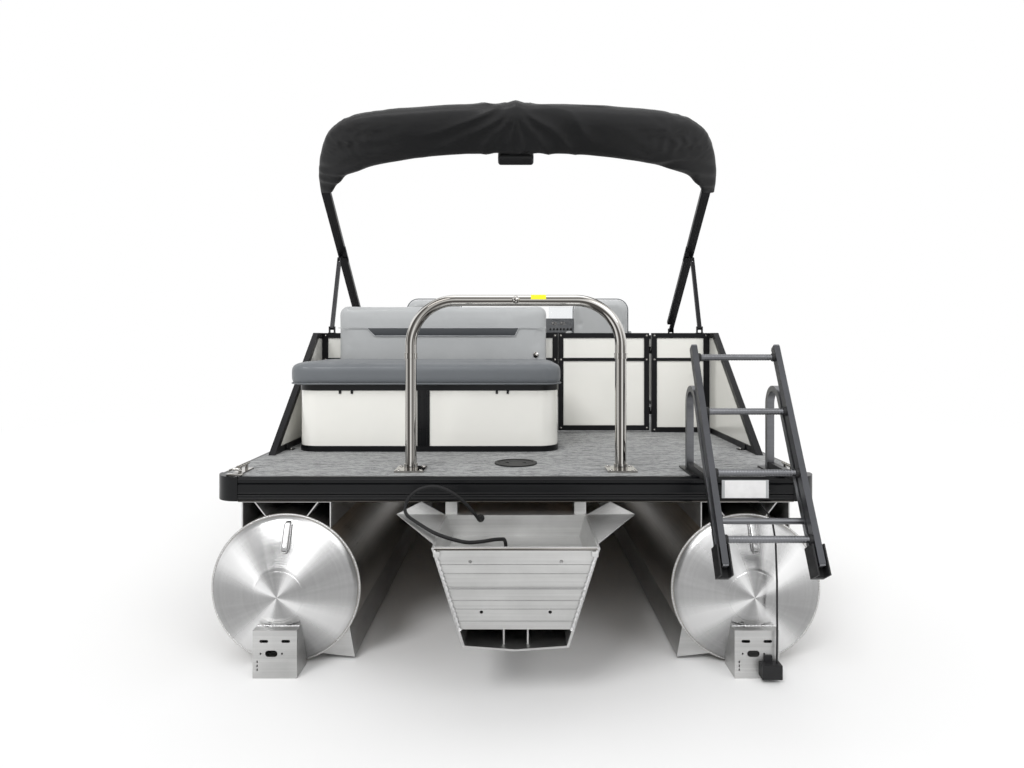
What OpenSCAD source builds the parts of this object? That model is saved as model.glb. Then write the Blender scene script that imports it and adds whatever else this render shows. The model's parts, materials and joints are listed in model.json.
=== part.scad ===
// Pontoon boat: two tubes, a railed deck, lounges, a helm, a boarding ladder,
// a tow bar and a folded bimini. Millimetres, +Y to the bow, +X to starboard.
// Places below are boat coordinates: X from the centreline, Y from the stern
// edge of the deck, Z from the ground. place() moves them to the part's frame,
// whose origin is under the middle of the boat's box.

/* [Hull] */
// Width over the rub rail
beam = 2591; // [2500:1:2700]
// Length of the deck over the rub rail
deck_l = 6600; // [6000:10:7600]
// Height of the walking surface
deck_z = 790; // [760:1:900]
// Diameter of a pontoon tube
tube_d = 635; // [584:1:640]
// Distance of a tube's axis from the centreline
tube_x = 978; // [940:1:1000]

/* [Fences] */
// Height of a fence above the deck
fence_h = 627; // [560:1:760]
// Width of the square fence tube
fence_t = 32; // [25:1:40]
// Outer face of a side fence from the centreline
fence_x = 1250; // [1240:1:1260]
// Stern face of the stern fence
stern_fence_y = 1454; // [1400:1:1600]
// Stern foot of the sloped side rail
slope_foot_y = 560; // [400:1:700]
// Bow face of the bow fence
bow_fence_y = 6150; // [5600:1:6400]
// Clear width of a gate opening
gate_w = 596; // [560:1:640]

/* [Seats] */
// Height of a lounge base above the deck
seat_base_h = 349; // [300:1:400]
// Thickness of a lounge cushion
cushion_t = 116; // [80:1:140]
// Width of the stern lounge base
stern_seat_w = 1370; // [1100:1:1380]
// Height of the stern backrest's top above the deck
stern_back_h = 800; // [700:1:900]

/* [Ladder] */
// Centre of the ladder from the centreline
ladder_x = 960; // [900:1:980]
// Distance between the ladder's rails
ladder_w = 360; // [320:1:400]
// Slope of the folded ladder
ladder_tilt = 60.2; // [55:0.1:66]
// Length of the folding section
ladder_l = 930; // [760:1:1000]

/* [Tow bar] */
// Distance between the tow bar's legs
tow_w = 940; // [800:1:1100]
// Height of the tow bar above the deck
tow_h = 785; // [650:1:950]
// Diameter of the tow bar tube
tow_d = 50.5; // [45:0.5:76]

/* [Bimini] */
// Pivot of the bimini frame from the stern edge of the deck
bimini_y = 2570; // [2450:1:2900]
// Rise of the folded bimini above the horizontal
bimini_tilt = 39; // [34:0.5:50]
// Length of a bimini leg up to the boot
bimini_leg = 1392; // [1300:1:1500]

/* [Hidden] */
$fn = 48;

// Colours
aluminium_c = [0.75, 0.76, 0.77];
stainless_c = [0.83, 0.83, 0.84];
black_c = [0.07, 0.07, 0.08];
panel_c = [0.90, 0.90, 0.88];
pale_vinyl_c = [0.68, 0.69, 0.70];
dark_vinyl_c = [0.42, 0.44, 0.45];

// Clearances
seat_gap = 0.3;
run_gap = 6;

// Hull stack, from the deck down
vinyl_t = 3;
board_t = 32;
beam_h = 69;
board_z = deck_z - vinyl_t - board_t;
under_z = board_z - beam_h;
tube_r = tube_d / 2;
straight_l = deck_l - 1000;
cap_l = 118;
rail_t = 22;
rail_cap_t = 25;
rail_h = deck_z - under_z;
corner_r = 100;
corner_tail = 10;

// Motor pod
pod_top_z = 628;
pod_top_w = 302;
pod_low_z = 235;
pod_low_w = 197;
pod_keel_z = 220;
pod_wall = 8;
pod_fore_y = 1180;
well_z = 540;
transom_tilt = 12.5;
transom_low_y = -410;
transom_low_z = 310;
transom_t = 12;

// Tow bar
tow_y = 160;
tow_bend = 200;

// Fences
fence_top = deck_z + fence_h;
fence_in = fence_x - fence_t;
slope_top_y = stern_fence_y - 104;
panel_t = 20;
panel_in = (fence_t - panel_t) / 2;
mid_rail_t = 20;
mid_rail_z = fence_top - 177;
gate_x = 264;
gate_gap = 5;
hinge_side_gap = 17;
bow_gate_w = 760;
bow_corner_r = 300;
post_ys = [stern_fence_y, 2554, 3660, 4760];
hinge_r = 9;
pin_r = 5;
knuckle_h = 22;

// Stern lounge
seat_base_z = deck_z + seat_base_h;
cushion_z = seat_base_z + seat_gap;
cushion_top = cushion_z + cushion_t;
stern_seat_x = -461;
stern_seat_y = 680;
stern_corner_r = 110;
seat_wall = 20;
band_h = 30;
stern_back_y = 1335;
lid_gap = 34;
lid_pin_off = 12;
lid_pin_drop = 8;
lid_pin_r = 4;
lid_knuckle_r = 8;
lid_knuckle_l = 26;
shelf_t = 30;

// Bow lounges: [side, stern end, bow end]
bow_seat_in = 640;
bow_seat_out = 1205;
bow_back_t = 100;
bow_lid_out = bow_seat_out - bow_back_t - lid_gap;
bow_seats = [[-1, 4300, 5850], [1, 4960, 5850]];

// Helm
helm_x = [330, 1100];
helm_y = 4200;
helm_wall = 12;
console_top_z = deck_z + 610;
wheel_x = 750;
wheel_tilt = 62;
wheel_r = 175;

// Chairs
chair_y = 3480;
chair_x = [-720, 750];
chair_seat_z = 1160;

// Ladder
ladder_leg_y = 165;
ladder_pivot_y = -320;
ladder_pivot_z = 523;
ladder_bend = 76;
ladder_tube = 25;
ladder_tube_w = 32;
rail_off = 44;
rail_w = 25;
rail_d = 40;
rail_end = 15;
rung_d = 25;
rungs_from_top = [48, 305, 571, 835];

// Bimini
bimini_z = fence_top + 30;
bimini_x = 1225;
bow_t = 28;
knee_u = 830;
prop_drop = 44;
prop_foot_y = 1700;
prop_d = 24;
fold_x = bimini_x - bow_t - 2;

// Rigging hose: route of its centre line in boat coordinates
hose_d = 14;
hose_sides = 10;
hose_route = [
    [-150, 0, 615], [-150, -35, 615], [-155, -72, 630], [-175, -105, 667],
    [-215, -125, 715], [-267, -132, 755], [-327, -132, 776], [-388, -130, 766],
    [-433, -130, 732], [-449, -142, 693], [-438, -170, 672], [-408, -212, 662],
    [-370, -265, 656], [-330, -320, 650], [-286, -368, 645], [-236, -396, 637],
    [-180, -402, 627], [-126, -388, 626], [-82, -356, 624], [-55, -321, 616],
    [-45, -293, 607], [-40, -272, 588], [-38, -265, 562], [-38, -265, 540.5]
];

// Overall length, which centres the part's frame
aft_y = transom_low_y - (pod_top_z - transom_low_z) * tan(transom_tilt) - 4;
mid_y = (aft_y + deck_l) / 2;

// Boat coordinates to the part's frame
module place() {
    translate([0, -mid_y, 0]) children();
}

// Box between two limits on each axis
module block(x, y, z) {
    translate([x[0], y[0], z[0]]) cube([x[1] - x[0], y[1] - y[0], z[1] - z[0]]);
}

// Sweeps a shape drawn in Y and Z along X
module along_x(x0, x1) {
    translate([x0, 0, 0]) rotate([90, 0, 90]) linear_extrude(x1 - x0) children();
}

// Sweeps a shape drawn in X and Z along Y
module along_y(y0, y1) {
    translate([0, y1, 0]) rotate([90, 0, 0]) linear_extrude(y1 - y0) children();
}

// Flexible line of round section along a route
module flexible(route, d, sides) {
    n = len(route);
    rings = [for (i = [0:n - 1]) let (
        v = route[min(i + 1, n - 1)] - route[max(i - 1, 0)],
        u = v / norm(v), a = cross(u, [0.31, 0.17, 0.93]), ua = a / norm(a), ub = cross(u, ua))
        ring(route[i], ua, ub, d / 2, d / 2, sides)];
    skin(rings, sides);
}

// Round rod between two points
module rod(p, q, r) {
    v = q - p;
    translate(p) rotate([0, acos(v[2] / norm(v)), atan2(v[1], v[0])]) cylinder(r = r, h = norm(v));
}

// Flat rectangle with round corners, centred
module round_rect(w, l, r) {
    square([w - 2 * r, l], center = true);
    square([w, l - 2 * r], center = true);
    for (sx = [-1, 1], sy = [-1, 1])
        translate([sx * (w / 2 - r), sy * (l / 2 - r)]) circle(r);
}

// Flat rectangle whose two stern corners are round; its stern edge is at y = 0
module stern_rounded(w, l, r) {
    translate([-w / 2, r]) square([w, l - r]);
    translate([-w / 2 + r, 0]) square([w - 2 * r, r + 1]);
    for (s = [-1, 1]) translate([s * (w / 2 - r), r]) circle(r);
}

// Copies its children to both sides
module both_sides() {
    for (s = [-1, 1]) scale_x(s) children();
}

module scale_x(s) {
    if (s > 0) children();
    else mirror([1, 0, 0]) children();
}

// Ring of a tube along a path: centre, two unit directions and two half sizes
function ring(c, a, b, ra, rb, n) =
    [for (i = [0:n - 1]) c + a * (ra * cos(360 * i / n)) + b * (rb * sin(360 * i / n))];

// Solid skin over a list of rings with n points each
module skin(rings, n) {
    m = len(rings);
    points = [for (r = rings) each r];
    walls = [for (j = [0:m - 2], i = [0:n - 1]) let (k = (i + 1) % n)
        [j * n + i, (j + 1) * n + i, (j + 1) * n + k, j * n + k]];
    ends = [[for (i = [0:n - 1]) i], [for (i = [n - 1:-1:0]) (m - 1) * n + i]];
    polyhedron(points, concat(walls, ends), convexity = 6);
}

// ---------------------------------------------------------------- hull

// Round body of one pontoon, stern cap and straight part
module tube_body() {
    translate([0, 0, tube_r]) rotate([-90, 0, 0]) rotate_extrude($fn = 96)
        polygon([[0, -cap_l], [tube_r * 0.31, -cap_l + 10], [tube_r * 0.33, -cap_l + 22],
                 [tube_r - 14, -12], [tube_r, 0], [tube_r, straight_l], [0, straight_l]]);
}

// Raked nose: [distance past the straight part, radius, lift of the centre]
nose = [[-2, -1, 0], [260, -16, 16], [500, -62, 60], [700, -128, 124], [850, -210, 204], [900, -262, 255]];

module tube_nose() {
    for (i = [0:len(nose) - 2]) hull() {
        nose_disc(nose[i]);
        nose_disc(nose[i + 1]);
    }
}

module nose_disc(s) {
    translate([0, straight_l + s[0], tube_r + s[2]]) rotate([-90, 0, 0])
        cylinder(r = tube_r + s[1], h = 1, $fn = 40);
}

module tube(side) {
    color(aluminium_c) place() translate([side * tube_x, 0, 0]) {
        tube_body();
        tube_nose();
    }
}

module port_tube() { tube(-1); }
module starboard_tube() { tube(1); }

// Inboard lifting strakes, three-cornered in section
module lifting_strakes() {
    color(aluminium_c) place() both_sides() along_y(30, straight_l)
        translate([tube_x, 0]) difference() {
            polygon([[-tube_r * 0.42, 29], [-tube_r * 0.9, 12], [-tube_r * 0.83, 141], [-tube_r * 0.5, 100]]);
            translate([0, tube_r]) circle(tube_r, $fn = 96);
        }
}

// Full-length risers that carry the crossmembers on the tubes
module tube_risers() {
    riser_t = 5;
    foot_w = 190;
    color(aluminium_c) place() both_sides() along_y(5, straight_l)
        translate([tube_x, 0]) difference() {
            union() {
                translate([-foot_w, under_z - riser_t]) square([2 * foot_w, riser_t]);
                for (s = [-1, 1]) {
                    translate([s * (foot_w - riser_t / 2) - riser_t / 2, under_z - 130])
                        square([riser_t, 130]);
                    polygon([[s * 140, under_z - 1], [s * 134, under_z - 1],
                             [s * 72, tube_d - 30], [s * 78, tube_d - 30]]);
                }
            }
            translate([0, tube_r]) circle(tube_r, $fn = 96);
        }
}

// Crossmembers under the deck board
module crossmembers() {
    count = 16;
    flange = 50;
    metal = 5;
    span = beam - 2 * rail_cap_t - 10;
    pitch = (deck_l - 2 * rail_cap_t - 60) / (count - 1);
    color(aluminium_c) place() for (i = [0:count - 1]) let (
        half = (i == 0 || i == count - 1) ? span / 2 - 55 : span / 2)
        translate([0, rail_cap_t + 30 + i * pitch, 0]) along_x(-half, half)
            translate([0, under_z]) {
                translate([-metal / 2, 0]) square([metal, beam_h]);
                for (z = [0, beam_h - metal]) translate([-flange / 2, z]) square([flange, metal]);
            }
}

module deck_sheet(z, t) {
    translate([0, deck_l / 2, z]) linear_extrude(t)
        round_rect(beam - 2 * rail_cap_t, deck_l - 2 * rail_cap_t, corner_r - rail_cap_t);
}

module deck() {
    color([0.55, 0.47, 0.36]) place() deck_sheet(board_z, board_t);
}

module deck_floor() {
    color([0.64, 0.65, 0.66]) place() deck_sheet(board_z + board_t, vinyl_t);
}

// Ribbed section of the rub rail, outwards from the board's edge
module rail_section() {
    polygon([[0, 0], [rail_t - 6, 0], [rail_t, 7], [rail_t, 26], [rail_t - 5, 31],
             [rail_t, 36], [rail_t, rail_h - 36], [rail_t - 5, rail_h - 31], [rail_t, rail_h - 26],
             [rail_t, rail_h - 7], [rail_t - 6, rail_h], [0, rail_h]]);
}

module rub_rail() {
    tail = corner_r + corner_tail;
    edge_x = beam / 2 - rail_cap_t;
    color(black_c) place() {
        both_sides() along_y(tail, deck_l - tail) translate([edge_x, under_z]) rail_section();
        along_x(-beam / 2 + tail, beam / 2 - tail)
            translate([rail_cap_t, under_z]) mirror([1, 0]) rail_section();
        along_x(-beam / 2 + tail, beam / 2 - tail)
            translate([deck_l - rail_cap_t, under_z]) rail_section();
    }
}

// Moulded rub rail corner about a corner of the deck
module rail_corner() {
    inner = corner_r - rail_cap_t;
    difference() {
        union() {
            linear_extrude(rail_h) circle(corner_r);
            translate([-corner_tail, 0, 0]) cube([corner_tail, corner_r, rail_h]);
            translate([0, -corner_tail, 0]) cube([corner_r, corner_tail, rail_h]);
        }
        translate([0, 0, -1]) linear_extrude(rail_h + 2) {
            circle(inner);
            translate([-corner_r - 20, -corner_r - 20]) square([corner_r + 20 - corner_tail, 2 * corner_r + 40]);
            translate([-corner_r - 20, -corner_r - 20]) square([2 * corner_r + 40, corner_r + 20 - corner_tail]);
            translate([-corner_tail - 1, -corner_tail - 1]) square([corner_tail + 1, inner + corner_tail + 1]);
            translate([-corner_tail - 1, -corner_tail - 1]) square([inner + corner_tail + 1, corner_tail + 1]);
            translate([-corner_r - 1, -corner_r - 1]) square(corner_r + 1);
        }
    }
}

module rub_rail_corners() {
    color(black_c) place() for (sx = [0, 1], bow = [0, 1])
        translate([0, deck_l / 2, under_z]) mirror([sx, 0, 0]) mirror([0, 1 - bow, 0])
            translate([beam / 2 - corner_r, deck_l / 2 - corner_r, 0]) rail_corner();
}

// ---------------------------------------------------------------- motor pod

// Section of the pod in X and Z, drawn in by t
module pod_section(t, top) {
    polygon([[-pod_top_w + t, top], [-pod_low_w + t, pod_low_z + t], [0, pod_keel_z + t],
             [pod_low_w - t, pod_low_z + t], [pod_top_w - t, top]]);
}

// Side outline of the pod in Y and Z
function transom_y(z) = transom_low_y - (z - transom_low_z) * tan(transom_tilt);

module motor_pod() {
    color(aluminium_c) place() {
        difference() {
            intersection() {
                along_y(aft_y - 20, pod_fore_y) pod_section(0, pod_top_z);
                along_x(-400, 400) polygon([
                    [transom_y(pod_top_z), pod_top_z], [transom_y(200), 200],
                    [700, 200], [pod_fore_y, 540], [pod_fore_y, pod_top_z]]);
            }
            intersection() {
                along_y(aft_y - 40, pod_fore_y - pod_wall) pod_section(pod_wall, pod_top_z + 1);
                along_x(-400, 400) polygon([
                    [aft_y - 60, pod_top_z + 1], [aft_y - 60, 200],
                    [700 - pod_wall, 200 + pod_wall], [pod_fore_y - pod_wall, 540 + pod_wall],
                    [pod_fore_y - pod_wall, pod_top_z + 1]]);
            }
        }
        intersection() {
            along_y(aft_y, pod_fore_y) pod_section(pod_wall - 1, pod_top_z);
            union() {
                // Lid under the deck, well floor, well bulkhead and the two webs
                block([-300, 300], [0, pod_fore_y - 1], [pod_top_z - pod_wall, pod_top_z]);
                along_x(-300, 300) polygon([
                    [transom_y(well_z) + transom_t / cos(transom_tilt), well_z], [8, well_z],
                    [8, well_z - pod_wall],
                    [transom_y(well_z - pod_wall) + transom_t / cos(transom_tilt), well_z - pod_wall]]);
                block([-300, 300], [0, 8], [well_z - 1, pod_top_z]);
                for (s = [-1, 1]) along_x(s * 45 - 3, s * 45 + 3)
                    polygon([[transom_y(well_z) + 40, well_z - 1], [0, well_z - 1], [0, 215],
                             [transom_y(215) + 40, 215]]);
            }
        }
        // Hanger rails up to the crossmembers
        for (s = [-1, 1])
            block(s > 0 ? [pod_top_w - 50, pod_top_w] : [-pod_top_w, -pod_top_w + 50],
                  [30, pod_fore_y], [pod_top_z, under_z]);
    }
}

// Local frame of the transom: X across, Y up the plate, Z out of its stern face
module transom_frame() {
    translate([0, transom_low_y, transom_low_z]) rotate([90 + transom_tilt, 0, 0]) children();
}

module transom_plate() {
    plate_h = (pod_top_z - transom_low_z) / cos(transom_tilt);
    low_w = pod_low_w - pod_wall - 2 * seat_gap + (pod_top_w - pod_low_w)
        * (transom_low_z - pod_low_z - pod_wall) / (pod_top_z - pod_low_z - pod_wall);
    top_w = pod_top_w - pod_wall - 2 * seat_gap;
    color(aluminium_c) place() transom_frame() difference() {
        translate([0, 0, -transom_t]) linear_extrude(transom_t)
            polygon([[-low_w, 0], [low_w, 0], [top_w, plate_h], [-top_w, plate_h]]);
        // Motor bolt holes: [half spacing, height]
        for (h = [[163.5, plate_h - 52], [125.5, plate_h - 255]], s = [-1, 1])
            translate([s * h[0], h[1], -transom_t - 1]) cylinder(r = 6.5, h = transom_t + 2);
    }
}

// Flat gusset between three corners
module gusset(a, b, c) {
    hull() for (p = [a, b, c]) translate(p) cube(3);
}

module splash_wings() {
    root = pod_top_w + 0.2;
    color(aluminium_c) place() both_sides() {
        gusset([root, -420, pod_top_z], [483, -120, under_z - 27], [root, -4, pod_top_z]);
        gusset([483, -120, under_z - 27], [400, -4, under_z - 3.2], [root, -4, pod_top_z]);
    }
}

// ---------------------------------------------------------------- stern fittings

// Slotted hole along X through a plate whose faces look along Y
module slot_x(x, z, l, w) {
    for (s = [-1, 1]) translate([x + s * (l - w) / 2, -200, z]) rotate([-90, 0, 0])
        cylinder(r = w / 2, h = 150);
    block([x - (l - w) / 2, x + (l - w) / 2], [-200, -50], [z - w / 2, z + w / 2]);
}

// Bent plate box on the stern cap of one tube
module stern_bracket() {
    w = 90;
    plate = 5;
    front_y = -140;
    top_z = 194;
    difference() {
        block([-w, w], [front_y, -8], [0, top_z]);
        block([-w + plate, w - plate], [front_y + plate, 0], [-1, top_z - plate]);
        tube_body();
        for (s = [-1, 1]) slot_x(s * 44.5, 150, 35, 12);
        slot_x(-14, 100, 50, 26);
        for (s = [-1, 1]) translate([-14 + s * 43.5, -150, 100]) rotate([-90, 0, 0])
            cylinder(r = 4, h = 40);
        for (i = [0:2]) block([-74, -69], [-150, -130], [30 + i * 16, 40 + i * 16]);
        translate([-44, -100, top_z - 20]) cylinder(r = 7, h = 40);
    }
}

module stern_brackets() {
    color(aluminium_c) place() for (s = [-1, 1]) translate([s * tube_x, 0, 0]) stern_bracket();
}

// Depth sounder on the starboard bracket with its lead clipped up to the deck
module transducer() {
    head_x = tube_x + 47;
    lead = [[head_x + 26, -162, 60], [head_x + 28, -160, 200], [head_x + 28, -158, 400],
            [head_x + 26, -148, 560], [head_x + 24, -120, under_z - 60], [head_x + 22, -60, under_z - 30],
            [head_x + 20, 14, under_z - 12]];
    color(black_c) place() {
        block([head_x - 40, head_x + 40], [-188, -140], [16, 72]);
        block([head_x - 20, head_x + 12], [-150, -140], [71, 96]);
        flexible(lead, 8, 8);
    }
}

// Hose that leaves the bulkhead, loops over the port wing and enters the well floor
module rigging_hose() {
    color(black_c) place() flexible(hose_route, hose_d, hose_sides);
}

module tow_bar() {
    r = tow_d / 2;
    top = deck_z + tow_h - r;
    base_t = 8;
    color(stainless_c) place() translate([0, tow_y, 0]) {
        for (s = [-1, 1]) {
            translate([s * tow_w / 2, 0, deck_z]) cylinder(r = r, h = top - tow_bend - deck_z);
            translate([s * tow_w / 2 - 65, -65, deck_z]) cube([130, 130, base_t]);
            translate([s * tow_w / 2, 0, deck_z + base_t]) cylinder(r = r + 5, h = 22);
            translate([s * tow_w / 2, 0, top - tow_bend - 60]) cylinder(r = r + 2.5, h = 24);
            translate([s * (tow_w / 2 - tow_bend), 0, top - tow_bend]) scale_x(s)
                rotate([90, 0, 0]) rotate_extrude(angle = 90) translate([tow_bend, 0]) circle(r);
        }
        translate([-tow_w / 2 + tow_bend, 0, top]) rotate([0, 90, 0])
            cylinder(r = r, h = tow_w - 2 * tow_bend);
        // Tow eye
        translate([0, -r + 6, top]) rotate([90, 0, 0]) cylinder(r = 9, h = 40);
        translate([0, -r - 34, top]) sphere(r = 17);
    }
}

module deck_plate() {
    color(black_c) place() translate([0, 330, deck_z]) difference() {
        cylinder(r = 100, h = 6);
        translate([0, 0, 4]) cylinder(r = 84, h = 3);
        for (s = [-1, 1]) translate([s * 40, 0, 2]) cylinder(r = 9, h = 5);
    }
}

// Cleat with two posts and a bar, along Y
module cleat() {
    translate([0, 0, 3]) cube([46, 130, 6], center = true);
    for (s = [-1, 1]) translate([0, s * 38, 3]) cylinder(r = 7, h = 26);
    translate([0, -62, 29]) rotate([-90, 0, 0]) cylinder(r = 7, h = 124);
}

module cleats() {
    color(stainless_c) place() for (s = [-1, 1], y = [130, deck_l - 130])
        translate([s * (beam / 2 - 86), y, deck_z]) cleat();
}

// ---------------------------------------------------------------- ladder

// Local frame of the ladder: Y up its slope, Z square to it towards the stern
module ladder_frame() {
    translate([0, ladder_pivot_y, ladder_pivot_z]) rotate([ladder_tilt, 0, 0]) children();
}

ladder_half = (90 - ladder_tilt) / 2;
ladder_apex = ladder_pivot_z + (ladder_leg_y - ladder_pivot_y) * tan(ladder_tilt);
ladder_bend_z = ladder_apex - ladder_bend / tan(ladder_half);
ladder_slope_l = (ladder_leg_y - ladder_pivot_y) / cos(ladder_tilt) - ladder_bend / tan(ladder_half);
ladder_xs = [ladder_x - ladder_w / 2, ladder_x + ladder_w / 2];

module slope_leg(x, from, w) {
    ladder_frame() translate([x - w / 2, from, -ladder_tube / 2])
        cube([w, ladder_slope_l - from, ladder_tube]);
}

module ladder_upper() {
    h = ladder_tube / 2;
    color([0.35, 0.36, 0.38]) place() {
        for (x = ladder_xs) {
            block([x - ladder_tube_w / 2, x + ladder_tube_w / 2],
                  [ladder_leg_y - h, ladder_leg_y + h], [deck_z + 8, ladder_bend_z]);
            translate([x - ladder_tube_w / 2, ladder_leg_y - ladder_bend, ladder_bend_z])
                rotate([90, 0, 90]) rotate_extrude(angle = 90 + ladder_tilt)
                    translate([ladder_bend - h, 0]) square([ladder_tube, ladder_tube_w]);
            slope_leg(x, 60, ladder_tube_w);
        }
        ladder_frame() translate([ladder_xs[0] + ladder_tube_w / 2, 162, 0]) rotate([0, 90, 0])
            cylinder(d = rung_d, h = ladder_w - ladder_tube_w);
    }
}

// Deck shoes with an arm out to the sloped legs
module ladder_brackets() {
    color(black_c) place() for (x = ladder_xs) difference() {
        union() {
            block([x - 32, x + 32], [6, 232], [deck_z, deck_z + 8]);
            block([x - 13, x + 13], [-190, ladder_leg_y - ladder_tube / 2], [deck_z + 8, deck_z + 38]);
        }
        slope_leg(x, 60, ladder_tube_w + 2);
        ladder_frame() block([x - 40, x + 40], [0, 900], [0, 200]);
    }
}

// Forked housings at the foot of the sloped legs, with the hinge pins
module ladder_pivots() {
    cheek = 6;
    inner = rail_w / 2 + run_gap;
    h = ladder_tube / 2;
    color(black_c) place() ladder_frame() for (x = ladder_xs) translate([x, 0, 0]) {
        difference() {
            block([-inner - cheek, inner + cheek], [-55, 60], [-h - 6, rail_off + 18]);
            block([-inner, inner], [-60, 70], [h, rail_off + 20]);
        }
        translate([-inner - cheek, 0, rail_off]) rotate([0, 90, 0])
            cylinder(r = 6, h = 2 * (inner + cheek));
    }
}

module ladder_lower() {
    top = ladder_l - rail_end;
    color([0.25, 0.26, 0.28]) place() ladder_frame() {
        for (x = ladder_xs) difference() {
            block([x - rail_w / 2, x + rail_w / 2], [-rail_end, top],
                  [rail_off - rail_d / 2, rail_off + rail_d / 2]);
            translate([x - rail_w, 0, rail_off]) rotate([0, 90, 0]) cylinder(r = 6.3, h = 2 * rail_w);
        }
        for (u = rungs_from_top) translate([ladder_xs[0] + rail_w / 2, top - u, rail_off])
            rotate([0, 90, 0]) cylinder(d = rung_d, h = ladder_w - rail_w);
    }
}

// ---------------------------------------------------------------- fences

slope_run = (slope_top_y - slope_foot_y) / fence_h;
slope_shift = fence_t * sqrt(1 + slope_run * slope_run);
bow_straight_y = bow_fence_y - bow_corner_r;

// Outline of a side fence and of the space inside its rails, in Y and Z
module side_outline() {
    polygon([[slope_foot_y, deck_z], [bow_straight_y, deck_z], [bow_straight_y, fence_top],
             [slope_top_y, fence_top]]);
}

function slope_y(z) = slope_foot_y + slope_shift + (z - deck_z) * slope_run;

module side_bays() {
    difference() {
        polygon([[slope_y(deck_z + fence_t), deck_z + fence_t], [bow_straight_y - fence_t, deck_z + fence_t],
                 [bow_straight_y - fence_t, fence_top - fence_t], [slope_y(fence_top - fence_t), fence_top - fence_t]]);
        for (y = post_ys) translate([y, deck_z]) square([fence_t, fence_h]);
    }
}

module side_frame(side) {
    color(black_c) place() scale_x(side) along_x(fence_in, fence_x) difference() {
        side_outline();
        side_bays();
    }
}

module side_panels(side) {
    color(panel_c) place() scale_x(side) along_x(fence_in + panel_in, fence_x - panel_in) side_bays();
}

module port_fence_frame() { side_frame(-1); }
module starboard_fence_frame() { side_frame(1); }
module port_fence_panels() { side_panels(-1); }
module starboard_fence_panels() { side_panels(1); }

// Spaces between the rails of a cross fence from x0 to x1, in X and Z
module cross_bays(x0, x1, bottom) {
    w = x1 - x0 - 2 * fence_t;
    translate([x0 + fence_t, bottom + fence_t]) square([w, mid_rail_z - bottom - fence_t]);
    translate([x0 + fence_t, mid_rail_z + mid_rail_t])
        square([w, fence_top - fence_t - mid_rail_z - mid_rail_t]);
}

module cross_frame(x0, x1, y, bottom) {
    along_y(y, y + fence_t) difference() {
        translate([x0, bottom]) square([x1 - x0, fence_top - bottom]);
        cross_bays(x0, x1, bottom);
    }
}

module cross_panels(x0, x1, y, bottom) {
    along_y(y + panel_in, y + fence_t - panel_in) cross_bays(x0, x1, bottom);
}

gate_right = gate_x + gate_w;
// Cross fences at the stern: [left, right]
stern_spans = [[-fence_in, gate_x], [gate_right, fence_in]];
// Fixed and moving halves of a gate hinge, each about its pin, straps towards +X and -X
hinge_zs = [deck_z + 110, fence_top - 130];

module hinge_post(strap) {
    cylinder(r = hinge_r, h = knuckle_h);
    cylinder(r = pin_r, h = 2 * knuckle_h);
    translate([0, min(strap, strap + sign(-strap) * 4), 0]) cube([40, 4, knuckle_h]);
}

module hinge_leaf(strap) {
    translate([0, 0, knuckle_h + seat_gap]) difference() {
        union() {
            cylinder(r = hinge_r, h = knuckle_h);
            translate([-40, min(strap, strap + sign(-strap) * 4), 0]) cube([40, 4, knuckle_h]);
        }
        translate([0, 0, -1]) cylinder(r = pin_r + seat_gap, h = knuckle_h + 2);
    }
}

// Hinge pins stand off the face that a gate swings towards
hinge_off = hinge_r + 1;
stern_hinge = [gate_right - hinge_side_gap / 2, stern_fence_y + fence_t + hinge_off];
bow_hinge = [bow_gate_w / 2 - hinge_side_gap / 2, bow_fence_y - fence_t - hinge_off];

module stern_fence_frame() {
    color(black_c) place() {
        for (s = stern_spans) cross_frame(s[0], s[1], stern_fence_y, deck_z);
        for (z = hinge_zs) translate([stern_hinge[0], stern_hinge[1], z]) hinge_post(-hinge_off);
    }
}

module stern_fence_panels() {
    color(panel_c) place() for (s = stern_spans) cross_panels(s[0], s[1], stern_fence_y, deck_z);
}

gate_low_z = deck_z + 12;

module stern_gate_frame() {
    color(black_c) place() {
        cross_frame(gate_x + gate_gap, gate_right - hinge_side_gap, stern_fence_y, gate_low_z);
        for (z = hinge_zs) translate([stern_hinge[0], stern_hinge[1], z]) hinge_leaf(-hinge_off);
    }
}

module stern_gate_panel() {
    color(panel_c) place()
        cross_panels(gate_x + gate_gap, gate_right - hinge_side_gap, stern_fence_y, gate_low_z);
}

// Quarter turn of a rail section about a bow corner
module corner_turn(z, h, out, w) {
    translate([fence_x - bow_corner_r, bow_straight_y, z]) rotate_extrude(angle = 90)
        translate([bow_corner_r - out - w, 0]) square([w, h]);
}

module bow_fence_frame() {
    color(black_c) place() {
        both_sides() {
            corner_turn(deck_z, fence_t, 0, fence_t);
            corner_turn(fence_top - fence_t, fence_t, 0, fence_t);
            cross_frame(bow_gate_w / 2, fence_x - bow_corner_r, bow_fence_y - fence_t, deck_z);
        }
        for (z = hinge_zs) translate([bow_hinge[0], bow_hinge[1], z]) hinge_post(hinge_off);
    }
}

module bow_fence_panels() {
    color(panel_c) place() both_sides() {
        corner_turn(deck_z + fence_t, fence_h - 2 * fence_t, panel_in, panel_t);
        cross_panels(bow_gate_w / 2, fence_x - bow_corner_r, bow_fence_y - fence_t, deck_z);
    }
}

module bow_gate_frame() {
    color(black_c) place() {
        cross_frame(-bow_gate_w / 2 + gate_gap, bow_gate_w / 2 - hinge_side_gap,
                    bow_fence_y - fence_t, gate_low_z);
        for (z = hinge_zs) translate([bow_hinge[0], bow_hinge[1], z]) hinge_leaf(hinge_off);
    }
}

module bow_gate_panel() {
    color(panel_c) place() cross_panels(-bow_gate_w / 2 + gate_gap, bow_gate_w / 2 - hinge_side_gap,
                                        bow_fence_y - fence_t, gate_low_z);
}

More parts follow.
